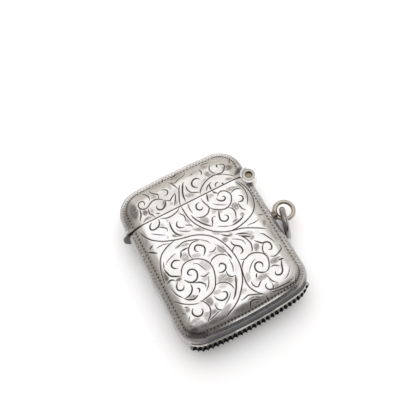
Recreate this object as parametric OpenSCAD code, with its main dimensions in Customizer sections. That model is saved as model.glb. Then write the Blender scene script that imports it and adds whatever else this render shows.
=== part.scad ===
// Pocket vesta case of sheet silver: a cushion-shaped box for wax matches.
// It lies on its back with the engraved front up. +X is the hinge side, +Y the lid end, +Z the front.
// The origin is on the flat back, at the middle of the case's width and height.

/* [Case] */
// Width of the case across the hinge
case_w = 36; // [32:0.5:42]
// Height of the closed case from base to lid top
case_h = 46; // [42:0.5:54]
// Thickness of the case from back to front
case_t = 10.6; // [9.8:0.1:13]
// Height of the seam between body and lid above the base
seam_h = 34.5; // [30:0.5:35.5]
// Gap left at the seam
seam_gap = 0.15; // [0.1:0.05:0.3]
// Thickness of the struck silver sheet
wall = 0.5; // [0.4:0.05:0.7]
// Film of solder between pieces that are joined
solder = 0.03; // [0.02:0.01:0.05]

/* [Cushion form] */
// How far the shoulder runs in from the outline
shoulder_in = 5.6; // [4.8:0.1:6.2]
// How far the shoulder rises above the straight wall
shoulder_up = 3.9; // [3.4:0.1:4.3]
// Tight radius where the straight wall turns into the shoulder
shoulder_r = 2.6; // [2.2:0.1:3]
// Plan radius of the flat face at its base corners
base_face_r = 0.4; // [0.3:0.1:2]
// Plan radius of the flat face at its lid corners
lid_face_r = 1.2; // [0.3:0.1:2]
// Angle at which the bowed base turns into its corners, in degrees: a larger angle is a rounder base
base_turn = 6.7; // [3:0.1:9]
// Angle at which the bowed lid top turns into its corners, in degrees
lid_turn = 3.3; // [2:0.1:7]

/* [Striker] */
// Height of the striker strip across the thickness
striker_h = 4.7; // [4:0.1:5.4]
// How far the tooth tips stand out from the base wall
tooth_out = 1.15; // [0.8:0.05:1.3]
// Silver left behind the bottom of each filed groove
groove_floor = 0.15; // [0.1:0.05:0.25]
// Spacing of the teeth along the base
tooth_pitch = 1.3; // [1.1:0.05:1.6]
// Width of each filed groove
groove_w = 0.9; // [0.7:0.02:1]
// Thickness of the plain rim at the front and back edge of the strip
rim_t = 0.35; // [0.25:0.05:0.5]
// How far the plain rim stands out from the base wall
rim_out = 0.3; // [0.2:0.05:0.5]
// How far the strip wraps round each base corner, in degrees
striker_wrap = 44; // [30:1:55]

/* [Mouth bezel] */
// Thickness of the bezel inside the mouth
bezel_t = 0.35; // [0.3:0.05:0.5]
// How far the bezel stands up out of the mouth into the lid
bezel_up = 1.8; // [1.2:0.1:2.4]
// How far the bezel reaches down inside the body
bezel_down = 3; // [2:0.5:5]
// Gap between the bezel and the shells around it
bezel_clear = 0.15; // [0.12:0.01:0.25]
// How far short of the hinge side the bezel stops
bezel_short = 8.4; // [7:0.2:10]

/* [Hinge] */
// How far the hinge axis lies inside the case's side
hinge_inset = 0.2; // [0:0.05:0.5]
// Diameter of the hinge barrel
barrel_d = 3.5; // [3.1:0.1:3.8]
// Length of the hinge barrel across the thickness
barrel_l = 7.8; // [7:0.1:8.4]
// Diameter of the hinge pin
pin_d = 1.6; // [1.3:0.1:1.8]
// Radial running clearance between pin and knuckles
pin_clear = 0.03; // [0.02:0.01:0.06]
// How far each pin end lies below the end of the barrel
pin_recess = 0.45; // [0.2:0.05:0.8]
// End gap between neighbouring knuckles
knuckle_gap = 0.1; // [0.06:0.01:0.15]
// Radial gap between the barrel and its bearers
barrel_gap = 0.1; // [0.08:0.01:0.2]
// Thickness of the curved bearers that cradle the barrel
bearer_t = 0.55; // [0.4:0.05:0.7]
// Depth of the two flats on the lid knuckle, on which the spring presses
flat_depth = 0.2; // [0.1:0.05:0.3]

/* [Lid spring] */
// Thickness of the steel leaf
leaf_t = 0.3; // [0.2:0.05:0.4]
// Width of the steel leaf
leaf_w = 1.9; // [1.5:0.1:2.1]
// Length of the leaf along the side wall
leaf_l = 17; // [12:0.5:22]
// Clearance between the leaf and the round of the lid knuckle
leaf_clear = 0.1; // [0.08:0.01:0.2]
// Length of the keeper that holds the leaf's foot
keeper_l = 3; // [2:0.5:4]
// Thickness of the keeper's strap over the leaf
keeper_t = 0.4; // [0.3:0.05:0.6]

/* [Thumbpiece] */
// How far the thumbpiece stands out from the lid's side
thumb_out = 1.65; // [1:0.05:2]
// Thickness of the thumbpiece at its tip
thumb_t = 0.6; // [0.4:0.1:0.9]
// Radius of the hollow sweep that blends the thumbpiece into the lid's side
thumb_sweep_r = 4.2; // [3:0.1:6]

/* [Hanging loop] */
// Outer diameter of the loop on the case's side
loop_d = 6.3; // [5.5:0.1:8]
// Diameter of the loop's wire
loop_wire = 1.25; // [1:0.05:1.5]
// Height of the loop's centre above the base
loop_h = 22.2; // [16:0.2:26]
// Length of the stud between the case and the loop
stud_l = 0.65; // [0.5:0.05:1.2]
// Diameter of the stud where it meets the case
stud_d = 2.6; // [1.8:0.1:2.8]

/* [Jump ring] */
// Outer diameter of the jump ring
ring_d = 8.8; // [7.6:0.1:10]
// Diameter of the jump ring's wire
ring_wire = 1.6; // [1.1:0.05:1.7]
// How far the ring has slid round the loop towards the case, in degrees
ring_turn = 18; // [0:1:25]
// How far the ring leans towards the case, in degrees
ring_lean = 9; // [0:1:18]
// How far the ring has slipped sideways towards the case
ring_slip = 0.35; // [0:0.05:0.6]
// Distance of the ring's centre outside the loop's wire
ring_hang = 0.6; // [0.4:0.02:1.2]

/* [Hidden] */
$fn = 96;
// Facets of the long, nearly straight arcs
bow_fn = 1440;
// Overlap that cuts a tool clean through a face
cut = 1;

half_w = case_w / 2;
mid_z = case_t / 2;
base_y = -case_h / 2;
lid_y = case_h / 2;
seam_y = base_y + seam_h;
body_top_y = seam_y - seam_gap / 2;
lid_low_y = seam_y + seam_gap / 2;

// Each end of the case is a long arc, joined to the sides by tangent corner arcs
base_corner_r = shoulder_in + base_face_r;
lid_corner_r = shoulder_in + lid_face_r;
base_arc_r = arc_radius(base_corner_r, base_turn);
base_depth = corner_depth(base_corner_r, base_turn);

// The shoulder is a tight arc and a wide arc that meet on one tangent
wall_top = mid_z - shoulder_up;
crown_r = (pow(shoulder_in - shoulder_r, 2) + pow(shoulder_up, 2) - pow(shoulder_r, 2))
          / (2 * (shoulder_up - shoulder_r));
turn_angle = atan2(crown_r - shoulder_up, shoulder_r - shoulder_in);

hinge_x = half_w - hinge_inset;
barrel_r = barrel_d / 2;
bearer_ri = barrel_r + barrel_gap;
bearer_ro = bearer_ri + bearer_t;
notch_r = bearer_ro + solder;
knuckle_l = (barrel_l - 2 * knuckle_gap) / 3;
barrel_z = mid_z - barrel_l / 2;

// Angles round the hinge axis where the bearers and the spring lie, counted from +X
body_bearer_from = 183;
body_bearer_to = 305;
lid_bearer_from = 75;
lid_bearer_to = 177;
window_from = 181;
window_to = 268;
spring_angle = 225;

leaf_x = half_w - wall - solder - leaf_t / 2;
leaf_mid_r = barrel_r + leaf_clear + leaf_t / 2;
leaf_contact = [hinge_x + leaf_mid_r * cos(spring_angle), seam_y + leaf_mid_r * sin(spring_angle)];
leaf_bend = [leaf_x, leaf_contact[1] - (leaf_x - leaf_contact[0])];
leaf_tip_past = 1;
leaf_foot_y = leaf_bend[1] - leaf_l;

loop_ring_r = (loop_d - loop_wire) / 2;
loop_pos = [half_w + solder + stud_l + loop_d / 2, base_y + loop_h, mid_z];
ring_r = (ring_d - ring_wire) / 2;
ring_angle = -90 - ring_turn;
ring_out = loop_ring_r + ring_hang;
ring_pos = [loop_pos[0] + ring_out * cos(ring_angle) + ring_slip * sin(ring_angle),
            loop_pos[1] + ring_out * sin(ring_angle) - ring_slip * cos(ring_angle),
            ring_r * cos(ring_lean) + ring_wire / 2];

silver = "#c9c6bf";
dark_silver = "#6f6a68";
steel = "#8b8f94";
brass = "#b59a5e";

// Radius of the long arc, from the corner it meets and the angle where they meet
function arc_radius(corner_r, turn) = corner_r + (half_w - corner_r) / sin(turn);
// Distance of the corner arc's centre from the crown of the end, to a thousandth
function corner_depth(corner_r, turn) =
    let (to_centre = arc_radius(corner_r, turn) - corner_r)
        round(1000 * (to_centre + corner_r - to_centre * cos(turn))) / 1000;

// A move made in two steps, because the exporter keeps six digits of a number and these arcs must meet exactly
module place(v) {
    coarse = [for (c = v) round(1000 * c) / 1000];
    translate(coarse) translate(v - coarse) children();
}

// Flat wedge with its point on the origin, between two directions less than 90 degrees apart
module wedge(from, to, reach) {
    polygon([[0, 0], reach * [cos(from), sin(from)], reach * [cos(to), sin(to)]]);
}

// Band of the shoulder's section that lies between two depths under its outer surface.
// x counts inwards from the outline and y upwards from the middle of the thickness.
module shoulder_band(outer, inner) {
    translate([outer, 0]) square([inner - outer, wall_top]);
    translate([shoulder_r, wall_top]) intersection() {
        difference() {
            circle(shoulder_r - outer);
            circle(shoulder_r - inner);
        }
        wedge(180, turn_angle, 2 * shoulder_r);
    }
    translate([shoulder_in, mid_z - crown_r]) intersection() {
        difference() {
            circle(crown_r - outer);
            circle(crown_r - inner);
        }
        wedge(turn_angle, 90, 2 * crown_r);
    }
}

// Section of the struck sheet: the shoulder and a flat strip that runs on to a distance inside the outline
module sheet_section(strip_to) {
    under = mid_z - wall;
    shoulder_band(0, wall);
    polygon([[shoulder_in, under], [strip_to, under], [strip_to, mid_z], [shoulder_in, mid_z]]);
}

// The side of the case as a filled section, grown outwards from the outline
module side_form(grown) {
    translate([-grown, 0]) square([shoulder_in + grown, wall_top]);
    translate([shoulder_r, wall_top]) circle(shoulder_r + grown);
    translate([shoulder_in, mid_z - crown_r]) intersection() {
        circle(crown_r + grown);
        wedge(turn_angle, 90, 2 * crown_r);
    }
}

// Half of one end of the case as a struck shell, from its crown at the origin to its open mouth
module half_shell(corner_r, turn, mouth_y) {
    depth = corner_depth(corner_r, turn);
    arc_r = arc_radius(corner_r, turn);
    // The bowed end, with a flat strip that is cut off level with the corner centres
    intersection() {
        place([0, depth + (arc_r - corner_r) * cos(turn), 0])
            rotate_extrude(start = -90 - turn, angle = 2 * turn, $fn = bow_fn)
                place([arc_r, 0]) mirror([1, 0]) sheet_section(depth + cut);
        translate([-half_w, -cut, 0]) cube([case_w, depth + cut, mid_z + cut]);
    }
    // The corners and the straight sides
    for (side = [0, 1]) mirror([side, 0, 0]) {
        translate([half_w - corner_r, depth, 0]) rotate_extrude(start = turn - 90, angle = 90 - turn)
            translate([corner_r, 0]) mirror([1, 0]) sheet_section(corner_r);
        translate([half_w, mouth_y, 0]) rotate([90, 0, 0]) linear_extrude(mouth_y - depth)
            mirror([1, 0]) sheet_section(corner_r);
    }
    // The flat of the face
    translate([corner_r - half_w, depth, mid_z - wall])
        cube([case_w - 2 * corner_r, mouth_y - depth, wall]);
}

// Plan of the base end, grown outwards from the outline, from its crown up to the corner centres
module base_plan(grown) {
    corner_x = half_w - base_corner_r;
    reach = base_corner_r + grown + cut;
    spread = corner_x + reach * sin(base_turn);
    low = base_depth - reach * cos(base_turn);
    intersection() {
        translate([0, base_arc_r]) circle(base_arc_r + grown, $fn = bow_fn);
        polygon([[-corner_x, base_depth], [corner_x, base_depth], [spread, low], [-spread, low]]);
    }
    for (side = [-1, 1]) translate([side * corner_x, base_depth]) circle(base_corner_r + grown);
}

// Round notch in the side wall that takes the bearers and the barrel
module hinge_notch() {
    translate([hinge_x, seam_y, -cut]) cylinder(r = notch_r, h = case_t + 2 * cut);
}

// The front half stays as drawn and the back half is its mirror image
module to_front() {
    translate([0, 0, mid_z]) children();
}

module to_back() {
    translate([0, 0, mid_z]) mirror([0, 0, 1]) children();
}

module body_half() {
    translate([0, base_y, 0]) half_shell(base_corner_r, base_turn, body_top_y - base_y);
}

module lid_half() {
    translate([0, lid_y, 0]) mirror([0, 1, 0]) half_shell(lid_corner_r, lid_turn, lid_y - lid_low_y);
}

module body_front() {
    color(silver) difference() {
        to_front() body_half();
        hinge_notch();
    }
}

module body_back() {
    color(silver) difference() {
        to_back() body_half();
        hinge_notch();
    }
}

module lid_front() {
    color(silver) difference() {
        to_front() lid_half();
        hinge_notch();
    }
}

module lid_back() {
    color(silver) difference() {
        to_back() lid_half();
        hinge_notch();
    }
}

// Plan of a strip round the base, between two distances outside the base wall
module base_strip_plan(near, far) {
    corner = [half_w - base_corner_r, base_depth];
    reach = 2 * base_corner_r;
    intersection() {
        difference() {
            base_plan(far);
            base_plan(near);
        }
        polygon([[-corner[0], corner[1]], corner,
                 corner + reach * [sin(striker_wrap), -cos(striker_wrap)],
                 [-corner[0] - reach * sin(striker_wrap), corner[1] - reach * cos(striker_wrap)]]);
    }
}

// Point and heading of a place on the tooth tips, by its arc length from the middle of the base
function tip_arc_r() = base_arc_r + tooth_out;
function tip_corner_r() = base_corner_r + tooth_out;
function arc_share() = tip_arc_r() * base_turn * PI / 180;
function tip_heading(s) =
    s <= arc_share() ? s / tip_arc_r() * 180 / PI
                     : base_turn + (s - arc_share()) / tip_corner_r() * 180 / PI;
function tip_point(s) =
    s <= arc_share() ? [tip_arc_r() * sin(tip_heading(s)), base_arc_r - tip_arc_r() * cos(tip_heading(s))]
                     : [half_w - base_corner_r + tip_corner_r() * sin(tip_heading(s)),
                        base_depth - tip_corner_r() * cos(tip_heading(s))];
strip_half_l = arc_share() + (striker_wrap - base_turn) * PI / 180 * tip_corner_r();
grooves_each_side = floor((strip_half_l - tooth_pitch) / tooth_pitch + 0.5);

// One filed groove: a slot with a round floor, open towards -Y
module groove_plan() {
    depth = tooth_out - groove_floor - groove_w / 2;
    translate([0, depth]) circle(d = groove_w);
    translate([-groove_w / 2, -cut]) square([groove_w, depth + cut]);
}

module striker_strip() {
    color(silver) translate([0, base_y, mid_z - striker_h / 2]) {
        translate([0, 0, rim_t]) linear_extrude(striker_h - 2 * rim_t) difference() {
            base_strip_plan(solder, tooth_out);
            for (side = [0, 1]) mirror([side, 0]) for (i = [0 : grooves_each_side - 1])
                let (s = (i + 0.5) * tooth_pitch)
                    translate(tip_point(s)) rotate(tip_heading(s)) groove_plan();
        }
        for (edge = [0, 1]) translate([0, 0, edge * (striker_h - rim_t)]) linear_extrude(rim_t)
            base_strip_plan(solder, rim_out);
    }
}

// Collar that guides the lid: it follows the front, the free side and the back, and stops short of the hinge
module mouth_bezel() {
    outer = wall + bezel_clear;
    inner = outer + bezel_t;
    color(silver) translate([0, seam_y + bezel_up, mid_z]) rotate([90, 0, 0])
        linear_extrude(bezel_up + bezel_down) for (half = [0, 1]) mirror([0, half]) {
            translate([-half_w, 0]) shoulder_band(outer, inner);
            translate([-half_w + shoulder_in, mid_z - inner])
                square([case_w - shoulder_in - bezel_short, bezel_t]);
        }
}

// Lip soldered to the lid's free side: a crescent seen from the lid's end, swept up into the wall
module thumbpiece() {
    rise = thumb_t + sqrt(pow(thumb_sweep_r, 2) - pow(thumb_sweep_r - thumb_out, 2));
    color(silver) translate([0, lid_low_y, mid_z]) rotate([-90, 0, 0]) difference() {
        translate([shoulder_r - half_w, 0, 0]) rotate(90) rotate_extrude(angle = 180) difference() {
            square([shoulder_r + thumb_out, rise]);
            translate([shoulder_r + thumb_sweep_r, rise]) circle(thumb_sweep_r);
        }
        // The lid's own wall and shoulders
        translate([-half_w, 0, -cut]) linear_extrude(rise + 2 * cut)
            for (half = [0, 1]) mirror([0, half]) side_form(solder);
    }
}

// Part of a tube round the hinge axis
module hinge_sector(from, to, inner_r, outer_r, z, height) {
    translate([hinge_x, seam_y, z]) rotate_extrude(start = from, angle = to - from)
        translate([inner_r, 0]) square([outer_r - inner_r, height]);
}

// Curved plate soldered into the body's notch, open in the middle where the spring reaches the barrel
module body_bearer() {
    color(silver) difference() {
        hinge_sector(body_bearer_from, body_bearer_to, bearer_ri, bearer_ro, barrel_z, barrel_l);
        hinge_sector(window_from, window_to, bearer_ri - cut, bearer_ro + cut,
                     barrel_z + knuckle_l, barrel_l - 2 * knuckle_l);
    }
}

module lid_bearer() {
    color(silver) hinge_sector(lid_bearer_from, lid_bearer_to, bearer_ri, bearer_ro, barrel_z, barrel_l);
}

// Short tube on the hinge axis with a bore for the pin
module knuckle(index) {
    translate([hinge_x, seam_y, barrel_z + index * (knuckle_l + knuckle_gap)]) difference() {
        cylinder(r = barrel_r, h = knuckle_l);
        translate([0, 0, -cut]) cylinder(d = pin_d + 2 * pin_clear, h = knuckle_l + 2 * cut);
    }
}

module back_knuckle() {
    color(silver) knuckle(0);
}

module front_knuckle() {
    color(silver) knuckle(2);
}

// The lid's knuckle has two flats, a quarter turn apart, that the spring holds shut or open
module lid_knuckle() {
    color(silver) difference() {
        knuckle(1);
        for (turn = [0, 90]) translate([hinge_x, seam_y, barrel_z]) rotate(spring_angle + turn)
            translate([barrel_r - flat_depth, -barrel_r, 0]) cube([barrel_r, barrel_d, barrel_l]);
    }
}

module hinge_pin() {
    color(brass) translate([hinge_x, seam_y, barrel_z + pin_recess])
        cylinder(d = pin_d, h = barrel_l - 2 * pin_recess);
}

// Steel leaf along the inside of the hinge-side wall, cranked at its top to press on the lid knuckle
module lid_spring() {
    tip_l = norm(leaf_contact - leaf_bend) + leaf_tip_past;
    color(steel) translate([0, 0, mid_z - leaf_w / 2]) linear_extrude(leaf_w) {
        translate([leaf_x - leaf_t / 2, leaf_foot_y]) square([leaf_t, leaf_l]);
        translate(leaf_bend) circle(d = leaf_t);
        translate(leaf_bend) rotate(spring_angle - 90) translate([0, -leaf_t / 2]) square([tip_l, leaf_t]);
    }
}

// Silver strap soldered to the wall over the foot of the leaf
module spring_keeper() {
    wall_x = half_w - wall - solder;
    slot_x = leaf_x - leaf_t / 2 - solder;
    slot_w = leaf_w + 2 * solder;
    strap_w = 2 * wall_top;
    color(silver) translate([0, leaf_foot_y + keeper_l, mid_z]) rotate([90, 0, 0]) linear_extrude(keeper_l)
        difference() {
            translate([slot_x - keeper_t, -strap_w / 2]) square([wall_x - slot_x + keeper_t, strap_w]);
            translate([slot_x, -slot_w / 2]) square([wall_x - slot_x + cut, slot_w]);
        }
}

// Wire bent into a ring that lies flat on the middle plane of the case
module wire_ring(ring_r, wire_d) {
    rotate_extrude() translate([ring_r, 0]) circle(d = wire_d);
}

module loop_stud() {
    color(silver) difference() {
        translate([half_w + solder, loop_pos[1], loop_pos[2]]) rotate([0, 90, 0])
            cylinder(d = stud_d, h = stud_l + loop_wire / 2);
        translate(loop_pos) wire_ring(loop_ring_r, loop_wire + 2 * solder);
    }
}

module hanging_loop() {
    color(silver) translate(loop_pos) wire_ring(loop_ring_r, loop_wire);
}

// The ring stands on the ground through the loop and leans towards the case
module jump_ring() {
    color(dark_silver) translate(ring_pos) rotate(ring_angle) rotate([ring_lean, 0, 0])
        rotate([90, 0, 0]) wire_ring(ring_r, ring_wire);
}

body_front();
body_back();
striker_strip();
mouth_bezel();
lid_front();
lid_back();
thumbpiece();
body_bearer();
lid_bearer();
front_knuckle();
back_knuckle();
lid_knuckle();
hinge_pin();
lid_spring();
spring_keeper();
loop_stud();
hanging_loop();
jump_ring();
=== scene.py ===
import math

import bpy
import numpy as np
from mathutils import Matrix, Vector


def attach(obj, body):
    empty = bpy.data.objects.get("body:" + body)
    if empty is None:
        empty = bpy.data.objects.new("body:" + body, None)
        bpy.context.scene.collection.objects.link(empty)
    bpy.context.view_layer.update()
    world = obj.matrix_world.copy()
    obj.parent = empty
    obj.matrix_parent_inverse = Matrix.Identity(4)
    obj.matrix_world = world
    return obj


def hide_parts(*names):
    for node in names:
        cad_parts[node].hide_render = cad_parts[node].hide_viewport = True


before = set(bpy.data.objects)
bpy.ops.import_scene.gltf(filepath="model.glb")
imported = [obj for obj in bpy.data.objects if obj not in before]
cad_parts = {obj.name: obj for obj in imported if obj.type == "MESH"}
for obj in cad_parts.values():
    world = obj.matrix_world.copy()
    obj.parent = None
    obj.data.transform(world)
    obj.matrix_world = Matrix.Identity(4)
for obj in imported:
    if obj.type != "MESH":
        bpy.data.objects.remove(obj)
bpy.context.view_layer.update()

# Body of the case
# Two halves struck from sterling sheet and soldered round the side walls, open at the seam.
# The corners are domed, the faces are flat, and scrolls are cut into them with a graver.
MM = 0.001
SEAM_Y = 11.5
SEAM_GAP = 0.15
HALF_WIDTH = 18.0
HALF_HEIGHT = 23.0
MIDDLE_Z = 5.3
SHEET = 0.5
WALL_RISE = 1.4
EDGE_RADIUS = 2.6
CROWN_RADIUS = 6.71
CROWN_REACH = 5.6
CROWN_DROP = -1.41
EDGE_SWEEP = 43.1
FACE_Z = 2 * MIDDLE_Z
BODY_CORNER = 6.0
BODY_TURN = 6.7
HINGE = (17.8, SEAM_Y)
NOTCH_RADIUS = 2.43
NOTCH_SIDES = 120
NOTCH_LENGTH = 20.0
FINE_STEP = 0.128
BACK_STEP = 0.17
WALL_STEP = 0.3
EDGE_STEP = 0.2
FLAT_STEP = 0.1
COARSE_EVERY = 6


def ease(value):
    """Smooth step from 0 to 1."""
    clear = np.clip(value, 0.0, 1.0)
    return clear * clear * (3.0 - 2.0 * clear)


def spaced(start, stop, step):
    """Evenly spaced values, ends included; the number of steps is a multiple of the coarse spacing."""
    count = COARSE_EVERY * max(1, round(abs(stop - start) / step / COARSE_EVERY))
    return np.linspace(start, stop, count + 1)


def sheet_profile(step, corner):
    """Section of the sheet: distance in from the outline, height over the middle plane, outward normal."""
    wall = spaced(0.0, WALL_RISE, WALL_STEP)[:-1]
    edge = np.radians(spaced(180.0, 180.0 - EDGE_SWEEP, math.degrees(EDGE_STEP / EDGE_RADIUS)))[:-1]
    crown = np.radians(spaced(180.0 - EDGE_SWEEP, 90.0, math.degrees(step / CROWN_RADIUS)))[:-1]
    flat = spaced(CROWN_REACH, corner, FLAT_STEP)
    inward = [np.zeros_like(wall), EDGE_RADIUS + EDGE_RADIUS * np.cos(edge),
              CROWN_REACH + CROWN_RADIUS * np.cos(crown), flat]
    height = [wall, WALL_RISE + EDGE_RADIUS * np.sin(edge), CROWN_DROP + CROWN_RADIUS * np.sin(crown),
              np.full_like(flat, MIDDLE_Z)]
    normal_in = [-np.ones_like(wall), np.cos(edge), np.cos(crown), np.zeros_like(flat)]
    normal_up = [np.zeros_like(wall), np.sin(edge), np.sin(crown), np.ones_like(flat)]
    return [np.concatenate(parts) for parts in (inward, height, normal_in, normal_up)]


def end_bow(corner, turn):
    """Half angle and radius of a bowed end, and how far its corners start from its crown."""
    bend = math.radians(turn)
    bow = corner + (HALF_WIDTH - corner) / math.sin(bend)
    return bend, bow, bow - (bow - corner) * math.cos(bend)


def outline_stations(corner, turn, mouth, step):
    """Outline from the left of the mouth round the crown to its right: points and inward normals.
    The second coordinate is counted from the crown towards the mouth."""
    bend, bow, depth = end_bow(corner, turn)
    side = spaced(mouth, depth, step)
    swing = np.radians(spaced(0.0, 90.0 - turn, math.degrees(step / corner)))[1:]
    sweep = spaced(-bend, bend, step / bow)[1:]
    left_side = [np.full_like(side, -HALF_WIDTH), side, np.ones_like(side), np.zeros_like(side)]
    left_corner = [corner - HALF_WIDTH - corner * np.cos(swing), depth - corner * np.sin(swing),
                   np.cos(swing), np.sin(swing)]
    crown = [bow * np.sin(sweep), bow - bow * np.cos(sweep), -np.sin(sweep), np.cos(sweep)]
    left = np.concatenate([left_side, left_corner], 1).T
    right = left[-2::-1] * [-1.0, 1.0, -1.0, 1.0]
    outline = np.concatenate([left, np.stack(crown, 1), right])
    counts = (len(side), len(swing), len(sweep))
    return outline[:, :2], outline[:, 2:], counts, depth


def sheet_surface(stations, counts, depth, mouth, section, inset):
    """One face of the sheet: vertices, outward normals, and numbers of the rim and of the flat panel."""
    points, normals = stations
    inward, height, normal_in, normal_up = section
    sides, corners, bows = counts
    rings = len(inward)
    reach = inward + inset * -normal_in
    lift = height - inset * normal_up
    plan = points[:, None, :] + reach[None, :, None] * normals[:, None, :]
    spine = points + inward[-1] * normals
    strip = np.concatenate([plan, np.broadcast_to(lift[None, :, None], plan.shape[:2] + (1,))], 2)
    strip_facings = np.concatenate([
        normals[:, None, :] * normal_in[None, :, None],
        np.broadcast_to(normal_up[None, :, None], plan.shape[:2] + (1,)),
    ], 2)
    numbers = np.arange(len(points) * rings).reshape(len(points), rings)
    first_corner = sides - 1
    second_corner = sides + corners + bows - 1
    numbers[first_corner:first_corner + corners + 1, -1] = numbers[first_corner, -1]
    numbers[second_corner:second_corner + corners + 1, -1] = numbers[second_corner, -1]
    base = np.arange(first_corner + corners, second_corner + 1)
    along = spine[base, 0]
    foot = spine[base, 1]
    rows = points[:sides, 1][::-1]
    share = (rows - depth) / (mouth - depth)
    panel_up = foot[:, None] + share[None, :] * (mouth - foot[:, None])
    panel = np.stack([np.broadcast_to(along[:, None], panel_up.shape), panel_up,
                      np.full(panel_up.shape, lift[-1])], 2)
    panel_numbers = numbers.size + np.arange(panel_up.size).reshape(panel_up.shape)
    panel_numbers[:, 0] = numbers[base, -1]
    panel_numbers[0, :] = numbers[:sides, -1][::-1]
    panel_numbers[-1, :] = numbers[len(points) - sides:, -1]
    places = np.concatenate([strip.reshape(-1, 3), panel.reshape(-1, 3)])
    upright = np.zeros((panel_up.size, 3))
    upright[:, 2] = 1.0
    facings = np.concatenate([strip_facings.reshape(-1, 3), upright])
    return places, facings, numbers, panel_numbers


def grid_faces(numbers, turned):
    """Quads of a numbered grid, as a list of corners with repeats left out."""
    corners = [numbers[:-1, :-1], numbers[1:, :-1], numbers[1:, 1:], numbers[:-1, 1:]]
    quads = np.stack(corners, 2).reshape(-1, 4)
    if turned:
        quads = quads[:, ::-1]
    whole = (quads[:, 2] != quads[:, 3]) & (quads[:, 0] != quads[:, 1]) & (quads[:, 1] != quads[:, 2])
    whole &= quads[:, 0] != quads[:, 3]
    faces = quads[whole].tolist()
    for quad in quads[~whole].tolist():
        distinct = list(dict.fromkeys(quad))
        if len(distinct) > 2:
            faces.append(distinct)
    return faces


def rim_faces(fine, coarse, turned):
    """Flat rim between the finely divided outer edge and the coarsely divided inner edge."""
    faces = []
    for part in range(len(coarse) - 1):
        first = part * COARSE_EVERY
        edge = fine[first:first + COARSE_EVERY + 1].tolist()
        face = list(dict.fromkeys(edge + [int(coarse[part + 1]), int(coarse[part])]))
        faces.append(face[::-1] if turned else face)
    return faces


def smooth_path(points, step):
    """Curve through the points of one graver stroke, evenly sampled."""
    marks = np.array(points, float)
    ends = np.concatenate([[2 * marks[0] - marks[1]], marks, [2 * marks[-1] - marks[-2]]])
    path = []
    for place in range(1, len(ends) - 2):
        before, start, stop, after = ends[place - 1:place + 3]
        count = max(2, int(np.hypot(*(stop - start)) / step))
        share = np.linspace(0.0, 1.0, count, endpoint=False)[:, None]
        path.append(0.5 * (2 * start + (stop - before) * share
                           + (2 * before - 5 * start + 4 * stop - after) * share ** 2
                           + (3 * start - before - 3 * stop + after) * share ** 3))
    path.append(marks[-1:])
    return steadied(np.concatenate(path), step)


def steadied(path, step):
    """The path without the small wavers of its points; its ends and its tight turns stay where they are."""
    spread = np.clip(STEADY_SHARE * step * len(path), *STEADY_SPREAD)
    reach = min(int(STEADY_REACH * spread / step), len(path) - 1)
    weight = np.exp(-0.5 * (np.arange(-reach, reach + 1) * step / spread) ** 2)
    weight /= weight.sum()
    steady = np.zeros_like(path)
    for _ in range(STEADY_ROUNDS):
        left = path - steady
        lead = 2 * left[0] - left[reach:0:-1]
        tail = 2 * left[-1] - left[-2:-reach - 2:-1]
        longer = np.concatenate([lead, left, tail])
        steady = steady + np.stack([np.convolve(side, weight, "valid") for side in longer.T], 1)
    return steady


def travelled(path):
    """Distance along a path at each of its points."""
    return np.concatenate([[0.0], np.cumsum(np.hypot(*np.diff(path, axis=0).T))])


def cut_strokes(seen, strokes, depth_out, cut_out, ground_out):
    """Cuts tapered V grooves along the strokes: depth, a mask of the cut, and a bright burr beside it."""
    for width, points in strokes:
        path = smooth_path(points, STROKE_STEP)
        travel = travelled(path)
        length = travel[-1]
        to_end = np.minimum(travel, length - travel) / min(TAPER, length / TAPER_PARTS)
        taper = np.minimum(1.0, to_end * (1.0 - TAPER_END) + TAPER_END)
        low = path.min(0) - 2 * width
        high = path.max(0) + 2 * width
        near = np.nonzero(((seen > low) & (seen < high)).all(1))[0]
        if len(near) == 0:
            continue
        start = path[:-1]
        leg = path[1:] - start
        away = seen[near][:, None, :] - start[None]
        share = np.clip((away * leg).sum(2) / (leg * leg).sum(1), 0.0, 1.0)
        apart = np.hypot(*np.moveaxis(away - share[:, :, None] * leg, 2, 0))
        half = width / 2 * (taper[:-1] + share * (taper[1:] - taper[:-1]))
        into = (1.0 - apart / half).max(1)
        depth_out[near] = np.maximum(depth_out[near], CUT_DEPTH * np.clip(into, 0.0, 1.0))
        cut_out[near] = np.maximum(cut_out[near], ease(into * CUT_STEEP + CUT_SPREAD))
        ground_out[near] *= 1.0 - BURR * ease(BURR_REACH + into)


def soft_patches(seen, patches, mask_out):
    """Marks soft oval patches: middle, half length, half width, lean and strength of each."""
    for middle_x, middle_y, long, wide, lean, strength in patches:
        turn = math.radians(lean)
        across = (seen[:, 0] - middle_x) * math.cos(turn) + (seen[:, 1] - middle_y) * math.sin(turn)
        along = (seen[:, 1] - middle_y) * math.cos(turn) - (seen[:, 0] - middle_x) * math.sin(turn)
        inside = 1.0 - np.hypot(across / long, along / wide)
        mask_out[:] = np.maximum(mask_out, strength * ease(inside * PATCH_STEEP + PATCH_SPREAD))


def along_border(stations, rows):
    """Distance in from the outline of a line that lies deeper in at the crown than at the sides."""
    share = ease(np.abs(stations[1][:, 1]))
    return rows[0] + share * (rows[1] - rows[0])


def with_panel(rim_values, panel_count):
    """Values of the rim, followed by zeros for the flat panel."""
    return np.concatenate([rim_values.reshape(-1), np.zeros(panel_count)])


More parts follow.
